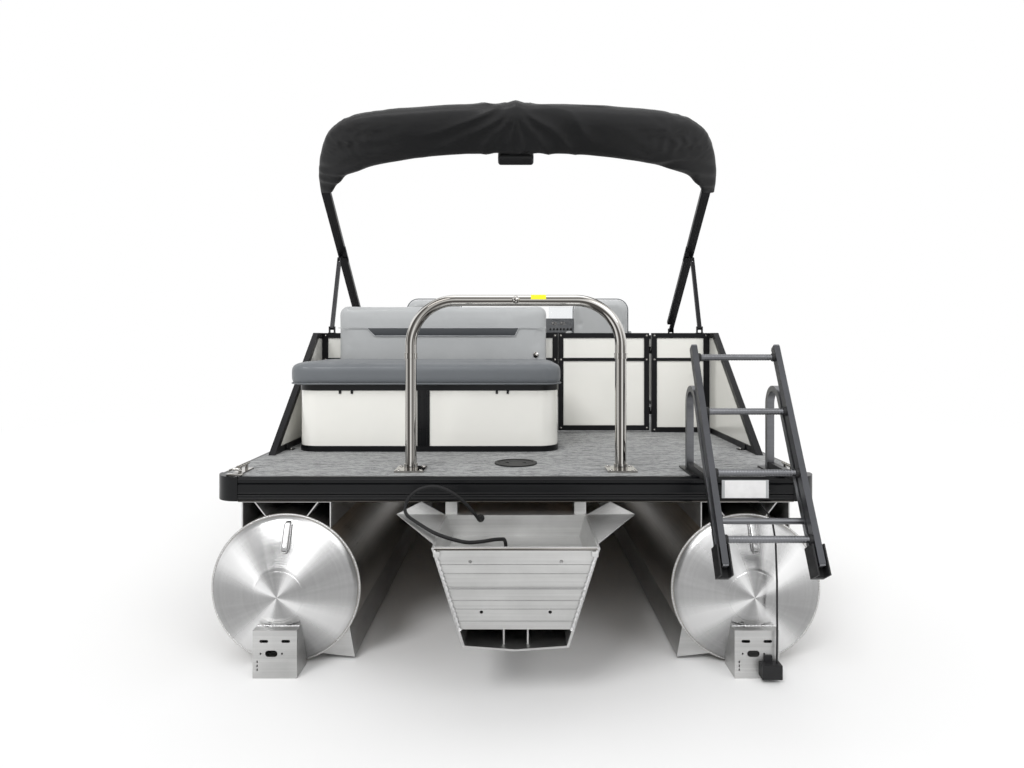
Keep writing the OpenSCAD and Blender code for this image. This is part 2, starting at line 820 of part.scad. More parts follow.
// ---------------------------------------------------------------- stern lounge

stern_base_l = stern_fence_y - stern_seat_y;

module stern_shell(z0, z1, proud) {
    translate([stern_seat_x, stern_seat_y - proud, z0]) linear_extrude(z1 - z0) difference() {
        stern_rounded(stern_seat_w + 2 * proud, stern_base_l + proud, stern_corner_r + proud);
        translate([0, seat_wall + proud])
            stern_rounded(stern_seat_w - 2 * seat_wall, stern_base_l - 2 * seat_wall, stern_corner_r - seat_wall);
    }
}

module stern_seat_base() {
    color(panel_c) place() stern_shell(deck_z + band_h, seat_base_z - band_h, 0);
}

// Fixed half of a lid hinge, about its pin along X; the lid lies towards -Y
module lid_hinge_fixed(foot_drop) {
    rotate([0, 90, 0]) cylinder(r = lid_knuckle_r, h = lid_knuckle_l);
    translate([-lid_knuckle_l - 1, 0, 0]) rotate([0, 90, 0]) cylinder(r = lid_pin_r, h = 2 * lid_knuckle_l + 1);
    translate([0, lid_knuckle_r - 4, -foot_drop]) cube([lid_knuckle_l, 4, foot_drop]);
    translate([0, lid_knuckle_r - 4, -foot_drop]) cube([lid_knuckle_l, 12, 4]);
}

// Moving half of a lid hinge
module lid_hinge_moving() {
    translate([-lid_knuckle_l - seat_gap, 0, 0]) difference() {
        union() {
            rotate([0, 90, 0]) cylinder(r = lid_knuckle_r, h = lid_knuckle_l);
            translate([0, -lid_pin_off, -40]) cube([lid_knuckle_l, 4, 44]);
            translate([0, -lid_pin_off, -4]) cube([lid_knuckle_l, lid_pin_off - lid_pin_r - 2, 8]);
        }
        translate([-1, 0, 0]) rotate([0, 90, 0]) cylinder(r = lid_pin_r + seat_gap, h = lid_knuckle_l + 2);
    }
}

lid_pin_z = cushion_top - lid_pin_drop;
lid_foot_drop = lid_pin_z - seat_base_z;

// Black bands and the two centre posts
module stern_seat_trim() {
    color(black_c) place() {
        stern_shell(deck_z, deck_z + band_h, 4);
        stern_shell(seat_base_z - band_h, seat_base_z, 4);
        for (s = [-1, 1]) translate([stern_seat_x - 20 + s * 13 - 8, stern_seat_y - 5, deck_z + band_h])
            cube([16, 5, seat_base_h - 2 * band_h]);
        // Shelf behind the lid, which carries the backrest and the lid's hinges
        block([stern_seat_x - stern_seat_w / 2 + 1, stern_seat_x + stern_seat_w / 2 - 1],
              [stern_lid_y + 2, stern_fence_y - 1], [seat_base_z - shelf_t, seat_base_z]);
        for (x = stern_hinge_xs) translate([x, stern_lid_y + lid_pin_off, lid_pin_z])
            lid_hinge_fixed(lid_foot_drop);
    }
}

stern_cushion_y = 630;
stern_cushion_w = 1411;
stern_lid_y = stern_back_y - lid_gap;
stern_hinge_xs = [stern_seat_x - 450, stern_seat_x + 450];

module stern_seat_cushion() {
    color(dark_vinyl_c) place() {
        translate([stern_seat_x - 11, stern_cushion_y, cushion_z]) linear_extrude(cushion_t)
            stern_rounded(stern_cushion_w, stern_lid_y - stern_cushion_y, stern_corner_r);
        for (x = stern_hinge_xs) translate([x, stern_lid_y + lid_pin_off, lid_pin_z]) lid_hinge_moving();
    }
}

module stern_seat_back() {
    color(pale_vinyl_c) place()
        block([-1100, 198], [stern_back_y, stern_fence_y - 6], [cushion_z, deck_z + stern_back_h]);
}

// ---------------------------------------------------------------- bow lounges

// Hinges of a bow lid, in the local frame of a lid hinge
module bow_hinge_places(s) {
    for (y = [s[1] + 200, s[2] - 200])
        translate([bow_lid_out + lid_pin_off, y, lid_pin_z]) rotate([0, 0, -90]) children();
}

module bow_seat_bases() {
    color(panel_c) place() for (s = bow_seats) scale_x(s[0]) {
        difference() {
            block([bow_seat_in, bow_seat_out], [s[1], s[2]], [deck_z, seat_base_z]);
            block([bow_seat_in + seat_wall, bow_seat_out - seat_wall],
                  [s[1] + seat_wall, s[2] - seat_wall], [deck_z + seat_wall, seat_base_z + 1]);
        }
        block([bow_lid_out + 2, bow_seat_out - 1], [s[1] + 1, s[2] - 1], [seat_base_z - shelf_t, seat_base_z]);
        bow_hinge_places(s) lid_hinge_fixed(lid_foot_drop);
    }
}

module bow_cushion(s) {
    overhang = 20;
    color(dark_vinyl_c) place() scale_x(s[0]) {
        translate([(bow_seat_in - overhang + bow_lid_out) / 2, (s[1] + s[2]) / 2, cushion_z])
            linear_extrude(cushion_t)
                round_rect(bow_lid_out - bow_seat_in + overhang, s[2] - s[1], 60);
        bow_hinge_places(s) lid_hinge_moving();
    }
}

module port_bow_cushion() { bow_cushion(bow_seats[0]); }
module starboard_bow_cushion() { bow_cushion(bow_seats[1]); }

module bow_seat_backs() {
    color(pale_vinyl_c) place() for (s = bow_seats) scale_x(s[0])
        block([bow_seat_out - bow_back_t, bow_seat_out], [s[1], s[2]], [cushion_z, fence_top + 60]);
}

// ---------------------------------------------------------------- helm

// Side outline of the console in Y and Z, drawn in by t
module console_side(t) {
    polygon([[helm_y + 40 + t, deck_z + t], [helm_y + 560 - t, deck_z + t],
             [helm_y + 560 - t, console_top_z + 150 - t], [helm_y + t, console_top_z - t],
             [helm_y + t, deck_z + 420]]);
}

module helm_console() {
    color(black_c) place() difference() {
        along_x(helm_x[0], helm_x[1]) console_side(0);
        along_x(helm_x[0] + helm_wall, helm_x[1] - helm_wall) console_side(helm_wall);
    }
}

// Sloped dash pad over the console
module helm_dash() {
    low = console_top_z + seat_gap;
    rise = 150 / 560;
    color(pale_vinyl_c) place() {
        difference() {
            along_x(helm_x[0] - 15, helm_x[1] + 15)
                polygon([[helm_y - 30, low - 30 * rise], [helm_y + 590, low + 590 * rise],
                         [helm_y + 590, low + 182], [helm_y + 420, low + 205],
                         [helm_y + 250, low + 200], [helm_y - 30, low + 50]]);
            along_x(helm_x[0], helm_x[1])
                polygon([[helm_y - 15, low + 8], [helm_y + 500, low + 500 * rise + 12],
                         [helm_y + 500, low + 180], [helm_y + 414, low + 191],
                         [helm_y + 256, low + 186], [helm_y - 15, low + 38]]);
        }
        // Steering column
        wheel_frame() translate([0, 0, -76]) cylinder(r = 22, h = 45);
    }
}

module windscreen() {
    color([0.3, 0.33, 0.36, 0.5]) place() along_x(helm_x[0] + 20, helm_x[1] - 20)
        polygon([[helm_y + 300, console_top_z + 202.1], [helm_y + 308, console_top_z + 202.4],
                 [helm_y + 260, console_top_z + 320], [helm_y + 252, console_top_z + 320]]);
}

wheel_y = helm_y - 90;
wheel_z = deck_z + 660;

// Local frame of the steering wheel: Z along its shaft, towards the driver
module wheel_frame() {
    translate([wheel_x, wheel_y, wheel_z]) rotate([wheel_tilt, 0, 0]) children();
}

module steering_wheel() {
    color(black_c) place() wheel_frame() {
        rotate_extrude($fn = 64) translate([wheel_r, 0]) circle(14, $fn = 24);
        for (a = [90, 210, 330]) rotate([0, 0, a]) translate([0, -14, -5]) cube([wheel_r, 28, 8]);
        translate([0, 0, -30]) cylinder(r = 38, h = 36);
    }
}

module throttle() {
    color(black_c) place() translate([helm_x[1] - 95, helm_y - 30, 0]) {
        block([0, 60], [-60, 0], [console_top_z, console_top_z + 45]);
        rod([30, -30, console_top_z + 40], [30, -53, console_top_z + 150], 9);
        translate([30, -53, console_top_z + 156]) sphere(r = 22);
    }
}

// ---------------------------------------------------------------- chairs

module chair_pedestals() {
    color([0.6, 0.61, 0.62]) place() for (x = chair_x) translate([x, chair_y, deck_z]) {
        cylinder(r = 165, h = 12);
        translate([0, 0, 12]) cylinder(r1 = 70, r2 = 42, h = 60);
        cylinder(r = 36.5, h = chair_seat_z - deck_z - 10.3);
        translate([0, 0, chair_seat_z - deck_z - 28]) cylinder(r = 60, h = 28 - seat_gap);
    }
}

// Bucket chair that faces the bow, about its swivel
module chair() {
    seat_w = 520;
    seat_l = 500;
    translate([0, 0, 5]) cube([320, 340, 10], center = true);
    translate([0, 10, 10]) linear_extrude(120) round_rect(seat_w, seat_l, 70);
    along_x(-seat_w / 2, seat_w / 2)
        polygon([[-245, 60], [-130, 60], [-150, 190], [-205, 590], [-330, 590], [-290, 200]]);
    for (s = [-1, 1]) scale_x(s) {
        block([seat_w / 2, seat_w / 2 + 45], [-200, 130], [250, 300]);
        block([seat_w / 2, seat_w / 2 + 30], [-190, -130], [90, 250]);
    }
}

module captain_chair() {
    color(pale_vinyl_c) place() translate([chair_x[1], chair_y, chair_seat_z]) chair();
}

module companion_chair() {
    color(pale_vinyl_c) place() translate([chair_x[0], chair_y, chair_seat_z]) chair();
}

// ---------------------------------------------------------------- bimini

// Local frame of the folded bimini: Y along the legs from the pivot, Z down and aft
module bimini_local() {
    translate([0, bimini_y, bimini_z]) rotate([180 - bimini_tilt, 0, 0]) children();
}

function bimini_point(u, n) = [
    bimini_y - u * cos(bimini_tilt) - n * sin(bimini_tilt),
    bimini_z + u * sin(bimini_tilt) - n * cos(bimini_tilt)];
prop_top = bimini_point(knee_u, prop_drop);
prop_foot = [prop_foot_y, fence_top + 34];
prop_vec = prop_foot - prop_top;
prop_l = norm(prop_vec);
prop_angle = atan2(prop_vec[1], prop_vec[0]);

// Ears on the side fences for the frame's pivots and the props' feet
module bimini_mounts() {
    ear = 5;
    half = bow_t / 2 + 0.5;
    color(black_c) place() both_sides() translate([bimini_x, 0, 0]) {
        block([-half - ear, half + ear - 1], [bimini_y - 45, bimini_y + 45], [fence_top, fence_top + 8]);
        for (s = [-1, 1]) translate([s * (half + ear / 2) - ear / 2 - 0.5 * (s + 1), 0, 0])
            block([0, ear], [bimini_y - 20, bimini_y + 20], [fence_top + 8, bimini_z + 16]);
        translate([-half - ear, bimini_y, bimini_z]) rotate([0, 90, 0]) cylinder(r = 5, h = 2 * (half + ear) - 1);
        block([-half - ear, half + ear - 1], [prop_foot_y - 30, prop_foot_y + 30], [fence_top, fence_top + 5]);
        for (s = [-1, 1]) translate([s * (half + ear / 2) - ear / 2 - 0.5 * (s + 1), 0, 0])
            block([0, ear], [prop_foot_y - 15, prop_foot_y + 15], [fence_top + 5, fence_top + 46]);
    }
}

module bimini_frame() {
    half = bow_t / 2;
    lug = 5;
    color(black_c) place() bimini_local() both_sides() {
        difference() {
            union() {
                block([bimini_x - half, bimini_x + half - 1], [0, bimini_leg], [-half, half]);
                translate([bimini_x - half, 0, 0]) rotate([0, 90, 0]) cylinder(r = half, h = bow_t - 1);
            }
            translate([bimini_x - bow_t, 0, 0]) rotate([0, 90, 0]) cylinder(r = 5.3, h = 2 * bow_t);
        }
        // Folded inner bow and the folded front brace beside it
        block([fold_x - half, fold_x + half + 1], [knee_u + 30, bimini_leg], [-half, half]);
        block([fold_x - half, fold_x + half + 1], [90, knee_u - 20], [-half, half]);
        block([fold_x - half - 4, bimini_x - half], [knee_u - 60, knee_u + 70], [-half + 6, half - 6]);
        block([fold_x + half, bimini_x - half], [110, 150], [-half + 6, half - 6]);
        // Lug with the prop's pin
        block([bimini_x - lug, bimini_x + lug], [knee_u - 15, knee_u + 15], [half, prop_drop]);
        translate([bimini_x - lug, knee_u, prop_drop]) rotate([0, 90, 0]) cylinder(r = 15, h = 2 * lug);
        translate([bimini_x - 13, knee_u, prop_drop]) rotate([0, 90, 0]) cylinder(r = 4, h = 26);
    }
}

// Boot outline in the plane of the legs: [outer x, outer u, inner x, inner u, thickness]
boot_half = [
    [300, 2003, 300, 1684, 160], [548, 1986, 584, 1659, 160], [891, 1947, 861, 1600, 156],
    [1069, 1861, 965, 1560, 150], [1142, 1765, 1047, 1524, 132], [1190, 1650, 1105, 1465, 104],
    [1225, 1520, 1140, 1430, 78], [1241, bimini_leg + seat_gap, 1164, bimini_leg + seat_gap, 50]
];

function mirrored(r) = [-r[0], r[1], -r[2], r[3], r[4]];
boot_rings = concat([for (i = [len(boot_half) - 1:-1:0]) mirrored(boot_half[i])],
                    [[0, 2011, 0, 1690, 160]], boot_half);

module bimini_boot() {
    n = 20;
    rings = [for (r = boot_rings) let (
        o = [r[0], r[1], 0], i = [r[2], r[3], 0], c = (o + i) / 2, a = (o - i) / 2)
        ring(c, a / norm(a), [0, 0, 1], norm(a), r[4] / 2, n)];
    color(black_c) place() bimini_local() skin(rings, n);
}

module bimini_light() {
    color(black_c) place() bimini_local()
        block([-110, 110], [1605, 1687.5], [-38, 42]);
}

module bimini_prop(side) {
    eye = 12;
    reach = prop_l - 1;
    color([0.16, 0.16, 0.17]) place() scale_x(side)
        translate([bimini_x, prop_top[0], prop_top[1]]) rotate([prop_angle, 0, 0]) {
            difference() {
                union() {
                    block([-eye, eye], [26, reach], [-eye, eye]);
                    for (s = [-1, 1]) translate([s * 9 - 3, 0, 0]) {
                        translate([0, 0, -eye]) cube([6, 27, 2 * eye]);
                        rotate([0, 90, 0]) cylinder(r = eye, h = 6);
                    }
                    translate([-eye, reach, 0]) rotate([0, 90, 0]) cylinder(r = eye, h = 2 * eye);
                }
                translate([-20, 0, 0]) rotate([0, 90, 0]) cylinder(r = 4.3, h = 40);
                translate([-20, reach, 0]) rotate([0, 90, 0]) cylinder(r = 5, h = 40);
            }
        }
}

module port_bimini_prop() { bimini_prop(-1); }
module starboard_bimini_prop() { bimini_prop(1); }

port_tube();
starboard_tube();
lifting_strakes();
tube_risers();
crossmembers();
deck();
deck_floor();
rub_rail();
rub_rail_corners();
motor_pod();
transom_plate();
splash_wings();
stern_brackets();
transducer();
rigging_hose();
tow_bar();
ladder_brackets();
ladder_upper();
ladder_pivots();
ladder_lower();
port_fence_frame();
port_fence_panels();
starboard_fence_frame();
starboard_fence_panels();
stern_fence_frame();
stern_fence_panels();
bow_fence_frame();
bow_fence_panels();
stern_gate_frame();
stern_gate_panel();
bow_gate_frame();
bow_gate_panel();
stern_seat_base();
stern_seat_trim();
stern_seat_cushion();
stern_seat_back();
bow_seat_bases();
port_bow_cushion();
starboard_bow_cushion();
bow_seat_backs();
helm_console();
helm_dash();
windscreen();
steering_wheel();
throttle();
chair_pedestals();
captain_chair();
companion_chair();
bimini_mounts();
bimini_frame();
bimini_boot();
bimini_light();
port_bimini_prop();
starboard_bimini_prop();
deck_plate();
cleats();
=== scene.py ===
"""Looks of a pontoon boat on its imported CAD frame.

Each sub-assembly is a class. It holds its sizes as fields, models its pieces with Blender's
own operators and dresses them with procedural finishes. Places are worked out from the frame:
a Datum turns distances from the stern edge of the deck into the frame's own coordinates.
Lengths are metres, +Y is the bow, +X starboard and +Z up.
"""

from __future__ import annotations

import json
import logging
import math
from dataclasses import dataclass
from enum import Enum
from typing import Any, Callable, Iterable, Sequence

import bmesh
import bpy
import numpy as np
from mathutils import Matrix, Vector, noise

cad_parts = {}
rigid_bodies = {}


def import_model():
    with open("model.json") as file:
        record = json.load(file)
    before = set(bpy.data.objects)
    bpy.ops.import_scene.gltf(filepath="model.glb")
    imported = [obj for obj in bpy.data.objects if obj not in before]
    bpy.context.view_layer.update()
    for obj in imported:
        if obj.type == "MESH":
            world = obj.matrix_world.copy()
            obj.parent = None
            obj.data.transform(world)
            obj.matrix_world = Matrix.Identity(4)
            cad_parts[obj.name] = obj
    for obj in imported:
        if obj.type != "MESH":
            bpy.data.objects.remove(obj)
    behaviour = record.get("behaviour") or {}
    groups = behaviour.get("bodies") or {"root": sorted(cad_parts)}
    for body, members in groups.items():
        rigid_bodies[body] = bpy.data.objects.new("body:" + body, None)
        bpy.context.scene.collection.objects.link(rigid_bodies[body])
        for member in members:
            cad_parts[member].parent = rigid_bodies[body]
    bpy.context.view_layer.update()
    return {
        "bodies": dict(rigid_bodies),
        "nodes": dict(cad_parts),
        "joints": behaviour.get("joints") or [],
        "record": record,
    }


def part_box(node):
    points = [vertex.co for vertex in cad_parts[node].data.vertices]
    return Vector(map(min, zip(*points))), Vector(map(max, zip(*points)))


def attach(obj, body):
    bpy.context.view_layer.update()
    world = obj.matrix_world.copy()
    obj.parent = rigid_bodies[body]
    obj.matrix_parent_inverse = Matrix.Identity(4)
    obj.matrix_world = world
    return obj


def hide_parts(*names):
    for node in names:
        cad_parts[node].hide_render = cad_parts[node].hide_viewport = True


LOG = logging.getLogger("pontoon_boat")
HULL, BIMINI = "hull", "bimini"
SIDES = (-1, 1)
BENCH_TOP = 1.1393
TUBE_OFFSET = 0.978

Point = Sequence[float]
Socket = bpy.types.NodeSocket


def linear(red: int, green: int, blue: int) -> tuple[float, float, float, float]:
    """Turn a screen colour of 0 to 255 into the linear colour that a shader takes.

    Args:
        red: Red of the screen colour.
        green: Green of the screen colour.
        blue: Blue of the screen colour.

    Returns:
        The linear colour with an alpha of one.
    """
    channels = [c / 255.0 for c in (red, green, blue)]
    lin = [c / 12.92 if c <= 0.04045 else ((c + 0.055) / 1.055) ** 2.4 for c in channels]
    return (lin[0], lin[1], lin[2], 1.0)


def shade(color: Sequence[float], factor: float) -> tuple[float, float, float, float]:
    """Return the colour with its three channels multiplied by a factor."""
    return (color[0] * factor, color[1] * factor, color[2] * factor, 1.0)


# ------------------------------------------------------------------ materials


class Graph:
    """The node graph of one material while it is being put together."""

    def __init__(self, name: str) -> None:
        """Start a material with its Principled shader.

        Args:
            name: Name of the material.
        """
        self.material = bpy.data.materials.new(name)
        self.material.use_nodes = True
        self.tree = self.material.node_tree
        self.shader = self.tree.nodes["Principled BSDF"]
        self.heights: list[tuple[Socket, float, float]] = []

    def add(self, kind: str, inputs: dict[str | int, Any] | None = None, **settings: Any) -> bpy.types.Node:
        """Add a node.

        Args:
            kind: Blender's name of the node type.
            inputs: Values or sockets for its inputs, by name or number.
            **settings: Attributes of the node itself.

        Returns:
            The new node.
        """
        node = self.tree.nodes.new(kind)
        for key, value in settings.items():
            setattr(node, key, value)
        for key, value in (inputs or {}).items():
            self.plug(node.inputs[key], value)
        return node

    def plug(self, socket: Socket, value: Any) -> None:
        """Link a socket to an input, or set the input to a constant."""
        if isinstance(value, bpy.types.NodeSocket):
            self.tree.links.new(value, socket)
        else:
            socket.default_value = value

    def set(self, **values: Any) -> None:
        """Set inputs of the shader; an underscore in a name stands for a space."""
        for key, value in values.items():
            self.plug(self.shader.inputs[key.replace("_", " ")], value)

    def coords(self, scale: Point = (1, 1, 1), shift: Point = (0, 0, 0), uv: bool = False) -> Socket:
        """Return object or UV coordinates after a Mapping node.

        Args:
            scale: Scale along each axis.
            shift: Location added after the scale.
            uv: Whether the piece's UV map is read.

        Returns:
            The mapped vector.
        """
        source = self.add("ShaderNodeTexCoord").outputs["UV" if uv else "Object"]
        return self.add("ShaderNodeMapping", {"Vector": source, "Scale": scale, "Location": shift}).outputs[0]

    def noise(self, vector: Socket, scale: float, detail: float = 3.0, rough: float = 0.55) -> Socket:
        """Return the factor of a noise texture."""
        return self.add("ShaderNodeTexNoise", {"Vector": vector, "Scale": scale, "Detail": detail,
                                               "Roughness": rough}).outputs["Fac"]

    def math(self, operation: str, first: Any, second: Any = 0.0, third: Any = 0.0) -> Socket:
        """Return the result of a Math node."""
        return self.add("ShaderNodeMath", {0: first, 1: second, 2: third}, operation=operation).outputs[0]

    def ramp(self, factor: Socket, stops: Sequence[tuple[float, Sequence[float]]]) -> Socket:
        """Return the colour of a ramp.

        Args:
            factor: What runs along the ramp.
            stops: Positions and their colours, in order.

        Returns:
            The colour socket.
        """
        node = self.add("ShaderNodeValToRGB", {"Fac": factor})
        elements = node.color_ramp.elements
        while len(elements) < len(stops):
            elements.new(0.5)
        for element, (position, color) in zip(elements, stops):
            element.position = position
            element.color = color
        return node.outputs["Color"]

    def span(self, value: Socket, low: float, high: float, to_low: float, to_high: float) -> Socket:
        """Return a value mapped from one range onto another, clamped."""
        return self.add("ShaderNodeMapRange", {"Value": value, "From Min": low, "From Max": high,
                                               "To Min": to_low, "To Max": to_high}).outputs["Result"]

    def mix(self, factor: Any, first: Any, second: Any) -> Socket:
        """Return a mix of two colours."""
        node = self.add("ShaderNodeMix", data_type="RGBA")
        for index, value in ((0, factor), (6, first), (7, second)):
            self.plug(node.inputs[index], value)
        return node.outputs[2]

    def relief(self, height: Socket, distance: float, strength: float = 1.0) -> None:
        """Queue a bump of a given depth in metres."""
        self.heights.append((height, distance, strength))

    def done(self) -> bpy.types.Material:
        """Chain the queued bumps into the shader and return the material."""
        normal: Socket | None = None
        for height, distance, strength in self.heights:
            inputs: dict[str | int, Any] = {"Height": height, "Distance": distance, "Strength": strength}
            if normal is not None:
                inputs["Normal"] = normal
            normal = self.add("ShaderNodeBump", inputs).outputs["Normal"]
        if normal is not None:
            self.set(Normal=normal)
        return self.material


@dataclass(frozen=True)
class Finish:
    """A surface finish; subclasses say how its material is made."""

    name: str
    color: tuple[float, float, float, float]

    def material(self) -> bpy.types.Material:
        """Return the material, made once."""
        return bpy.data.materials.get(self.name) or self.build(Graph(self.name))

    def build(self, graph: Graph) -> bpy.types.Material:
        """Make the material in the graph."""
        raise NotImplementedError


class Grain(Enum):
    """How a metal was worked; spun and polished metal also get painted highlights and a painted reflection."""

    SPUN = "spun"
    ROLLED = "rolled"
    EXTRUDED = "extruded"
    WELD = "weld"
    POLISHED = "polished"


@dataclass(frozen=True)
class BareMetal(Finish):
    """Bare aluminium or stainless steel with its working marks, plus painted highlight fans on spun metal and a
    painted reflection on polished metal.
    """

    grain: Grain = Grain.ROLLED
    roughness: float = 0.3
    centre: tuple[float, float] = (0.978, 0.3175)

    def build(self, graph: Graph) -> bpy.types.Material:
        """Make the metal with marks that follow how it was worked, with painted highlight fans on spun metal and a
        painted reflection on polished metal.
        """
        stains_and_painted_sheen = graph.noise(graph.coords(), 2.6, 6.0, 0.62)
        fine = graph.noise(graph.coords((180, 3, 180)), 1.0, 3.0)
        if self.grain is Grain.SPUN:
            place = graph.add("ShaderNodeSeparateXYZ", {0: graph.coords()})
            across = graph.math("SUBTRACT", graph.math("ABSOLUTE", place.outputs[0]), self.centre[0])
            up = graph.math("SUBTRACT", place.outputs[2], self.centre[1])
            radius = graph.math("SQRT", graph.math("ADD", graph.math("MULTIPLY", across, across),
                                                   graph.math("MULTIPLY", up, up)))
            ring = graph.add("ShaderNodeCombineXYZ", {0: radius})
            grooves = graph.noise(ring.outputs[0], 900.0, 3.0, 0.8)
            bands = graph.noise(ring.outputs[0], 70.0, 4.0, 0.7)
            # Painted highlight: the angle round the cap's centre drives bright and dark fan-shaped lobes in the
            # base colour, standing in for lamps mirrored in the spun metal.
            angle = graph.math("ARCTAN2", up, across)
            turn = graph.add("ShaderNodeCombineXYZ", {0: angle})
            painted_fan_noise = graph.noise(turn.outputs[0], 2.3, 4.0, 0.6)
            double = graph.math("SINE", graph.math("MULTIPLY_ADD", angle, 2.0, 0.5))
            sharp = graph.math("POWER", graph.math("ABSOLUTE", double), 5.0)
            painted_fan_lobes = graph.math("MULTIPLY_ADD", sharp, 0.55, 0.28)
            # The concentric spun rings are real marks; the fan lobes mixed in with them are painted highlight.
            fine = graph.mix(0.5, graph.mix(0.42, painted_fan_lobes, painted_fan_noise), graph.mix(0.8, bands, painted_fan_lobes))
            # The stains are real marks; the fans mixed into them are painted highlight.
            stains_and_painted_sheen = graph.mix(0.75, stains_and_painted_sheen, fine)
            flow = graph.add("ShaderNodeCombineXYZ", {0: graph.math("MULTIPLY", up, graph.math(
                "MULTIPLY", graph.math("SIGN", place.outputs[0]), -1.0)), 2: across})
            graph.plug(graph.shader.inputs["Tangent"], flow.outputs[0])
            graph.set(Anisotropic=0.85)
            graph.relief(grooves, 0.00012, 0.8)
            graph.relief(bands, 0.0004, 0.35)
        elif self.grain is Grain.WELD:
            graph.relief(graph.noise(graph.coords(), 160.0, 2.0), 0.004)
        elif self.grain is Grain.EXTRUDED:
            fine = graph.mix(0.5, graph.noise(graph.coords((1.5, 160, 160)), 1.0, 3.0),
                             graph.noise(graph.coords((0.7, 5, 26)), 1.0, 2.0))
            graph.relief(fine, 0.0003, 0.5)
        elif self.grain is Grain.ROLLED:
            graph.relief(graph.noise(graph.coords((60, 500, 60)), 1.0, 2.0), 0.00012, 0.4)
            graph.relief(stains_and_painted_sheen, 0.004, 0.25)
        tone = graph.mix(0.5, stains_and_painted_sheen, fine)
        low, high = {Grain.POLISHED: (0.96, 1.03), Grain.SPUN: (0.42, 1.22)}.get(self.grain, (0.70, 1.14))
        color = graph.ramp(tone, [(0.32, shade(self.color, low)), (0.66, shade(self.color, high))])
        if self.grain is Grain.POLISHED:
            # Painted reflection: noise over the surface normal darkens and lightens the base colour in broad
            # bands, standing in for a room mirrored in the polished steel.
            facing = graph.add("ShaderNodeNewGeometry").outputs["Normal"]
            painted_reflection_noise = graph.add("ShaderNodeTexNoise", {"Vector": facing, "Scale": 2.1, "Detail": 1.5}).outputs["Fac"]
            dark = graph.ramp(painted_reflection_noise, [(0.42, (0.10, 0.095, 0.09, 1.0)), (0.52, (0.62, 0.61, 0.59, 1.0)),
                                     (0.61, (1.0, 1.0, 1.0, 1.0))])
            painted_reflection_mix = graph.add("ShaderNodeMix", data_type="RGBA", blend_type="MULTIPLY")
            for index, value in ((0, 1.0), (6, color), (7, dark)):
                graph.plug(painted_reflection_mix.inputs[index], value)
            color = painted_reflection_mix.outputs[2]
        graph.set(
            Base_Color=color,
            Metallic=1.0,
            Roughness=graph.span(tone, 0.3, 0.7, self.roughness * 0.75, self.roughness * 1.3))
        return graph.done()


@dataclass(frozen=True)
class PowderCoat(Finish):
    """Dark anodised or coated metal."""

    roughness: float = 0.38

    def build(self, graph: Graph) -> bpy.types.Material:
        """Make a fine-textured coat with faint rub marks."""
        speck = graph.noise(graph.coords(), 900.0, 2.0)
        rub = graph.noise(graph.coords((3, 3, 3)), 1.4, 6.0, 0.65)
        graph.relief(speck, 0.00008, 0.5)
        graph.set(
            Base_Color=graph.ramp(rub, [(0.35, shade(self.color, 0.85)), (0.7, shade(self.color, 1.25))]),
            Metallic=0.55, Specular_IOR_Level=0.25,
            Roughness=graph.span(rub, 0.3, 0.7, self.roughness * 0.8, self.roughness * 1.2))
        return graph.done()


@dataclass(frozen=True)
class PanelSkin(Finish):
    """Glossy painted sheet with the slight waves of thin metal."""

    wave: float = 0.0025

    def build(self, graph: Graph) -> bpy.types.Material:
        """Make the painted sheet."""
        waves = graph.noise(graph.coords((2.2, 2.2, 1.2)), 1.5, 2.0)
        peel = graph.noise(graph.coords(), 260.0, 1.0)
        dust = graph.noise(graph.coords(), 7.0, 7.0, 0.7)
        graph.relief(waves, self.wave, 0.6)
        graph.relief(peel, 0.00004, 0.4)
        graph.set(Base_Color=graph.ramp(dust, [(0.2, shade(self.color, 0.975)), (0.7, self.color)]),
                  Roughness=graph.span(dust, 0.3, 0.7, 0.2, 0.225), Coat_Weight=0.55, Coat_Roughness=0.08)
        return graph.done()


@dataclass(frozen=True)
class WovenVinyl(Finish):
    """Flecked woven vinyl flooring."""

    dark: tuple[float, float, float, float] = (0.0, 0.0, 0.0, 1.0)
    yarn: float = 0.0032

    def build(self, graph: Graph) -> bpy.types.Material:
        """Make crossing yarns with long flecks across the boat."""
        place = graph.coords((1, 1, 0))
        pitch = 1.0 / self.yarn
        warp = graph.add("ShaderNodeTexWave", {"Vector": place, "Scale": pitch / 6.283, "Distortion": 0.6},
                         bands_direction="X").outputs["Fac"]
        weft = graph.add("ShaderNodeTexWave", {"Vector": place, "Scale": pitch / 6.283, "Distortion": 0.6},
                         bands_direction="Y").outputs["Fac"]
        weave = graph.math("MAXIMUM", warp, weft)
        flecks = graph.noise(graph.coords((30, 120, 1)), 1.0, 5.0, 0.85)
        streaks = graph.noise(graph.coords((7, 85, 1)), 1.0, 4.0, 0.8)
        fleck_tone = graph.mix(0.6, streaks, flecks)
        color = graph.ramp(fleck_tone, [(0.45, self.dark), (0.5, self.color),
                                        (0.55, shade(self.color, 1.55))])
        graph.relief(weave, 0.0007, 0.8)
        graph.relief(flecks, 0.0004, 0.6)
        graph.set(Base_Color=graph.mix(graph.math("MULTIPLY", weave, 0.25), color, shade(self.color, 0.6)),
                  Roughness=0.78, Sheen_Weight=0.15)
        return graph.done()


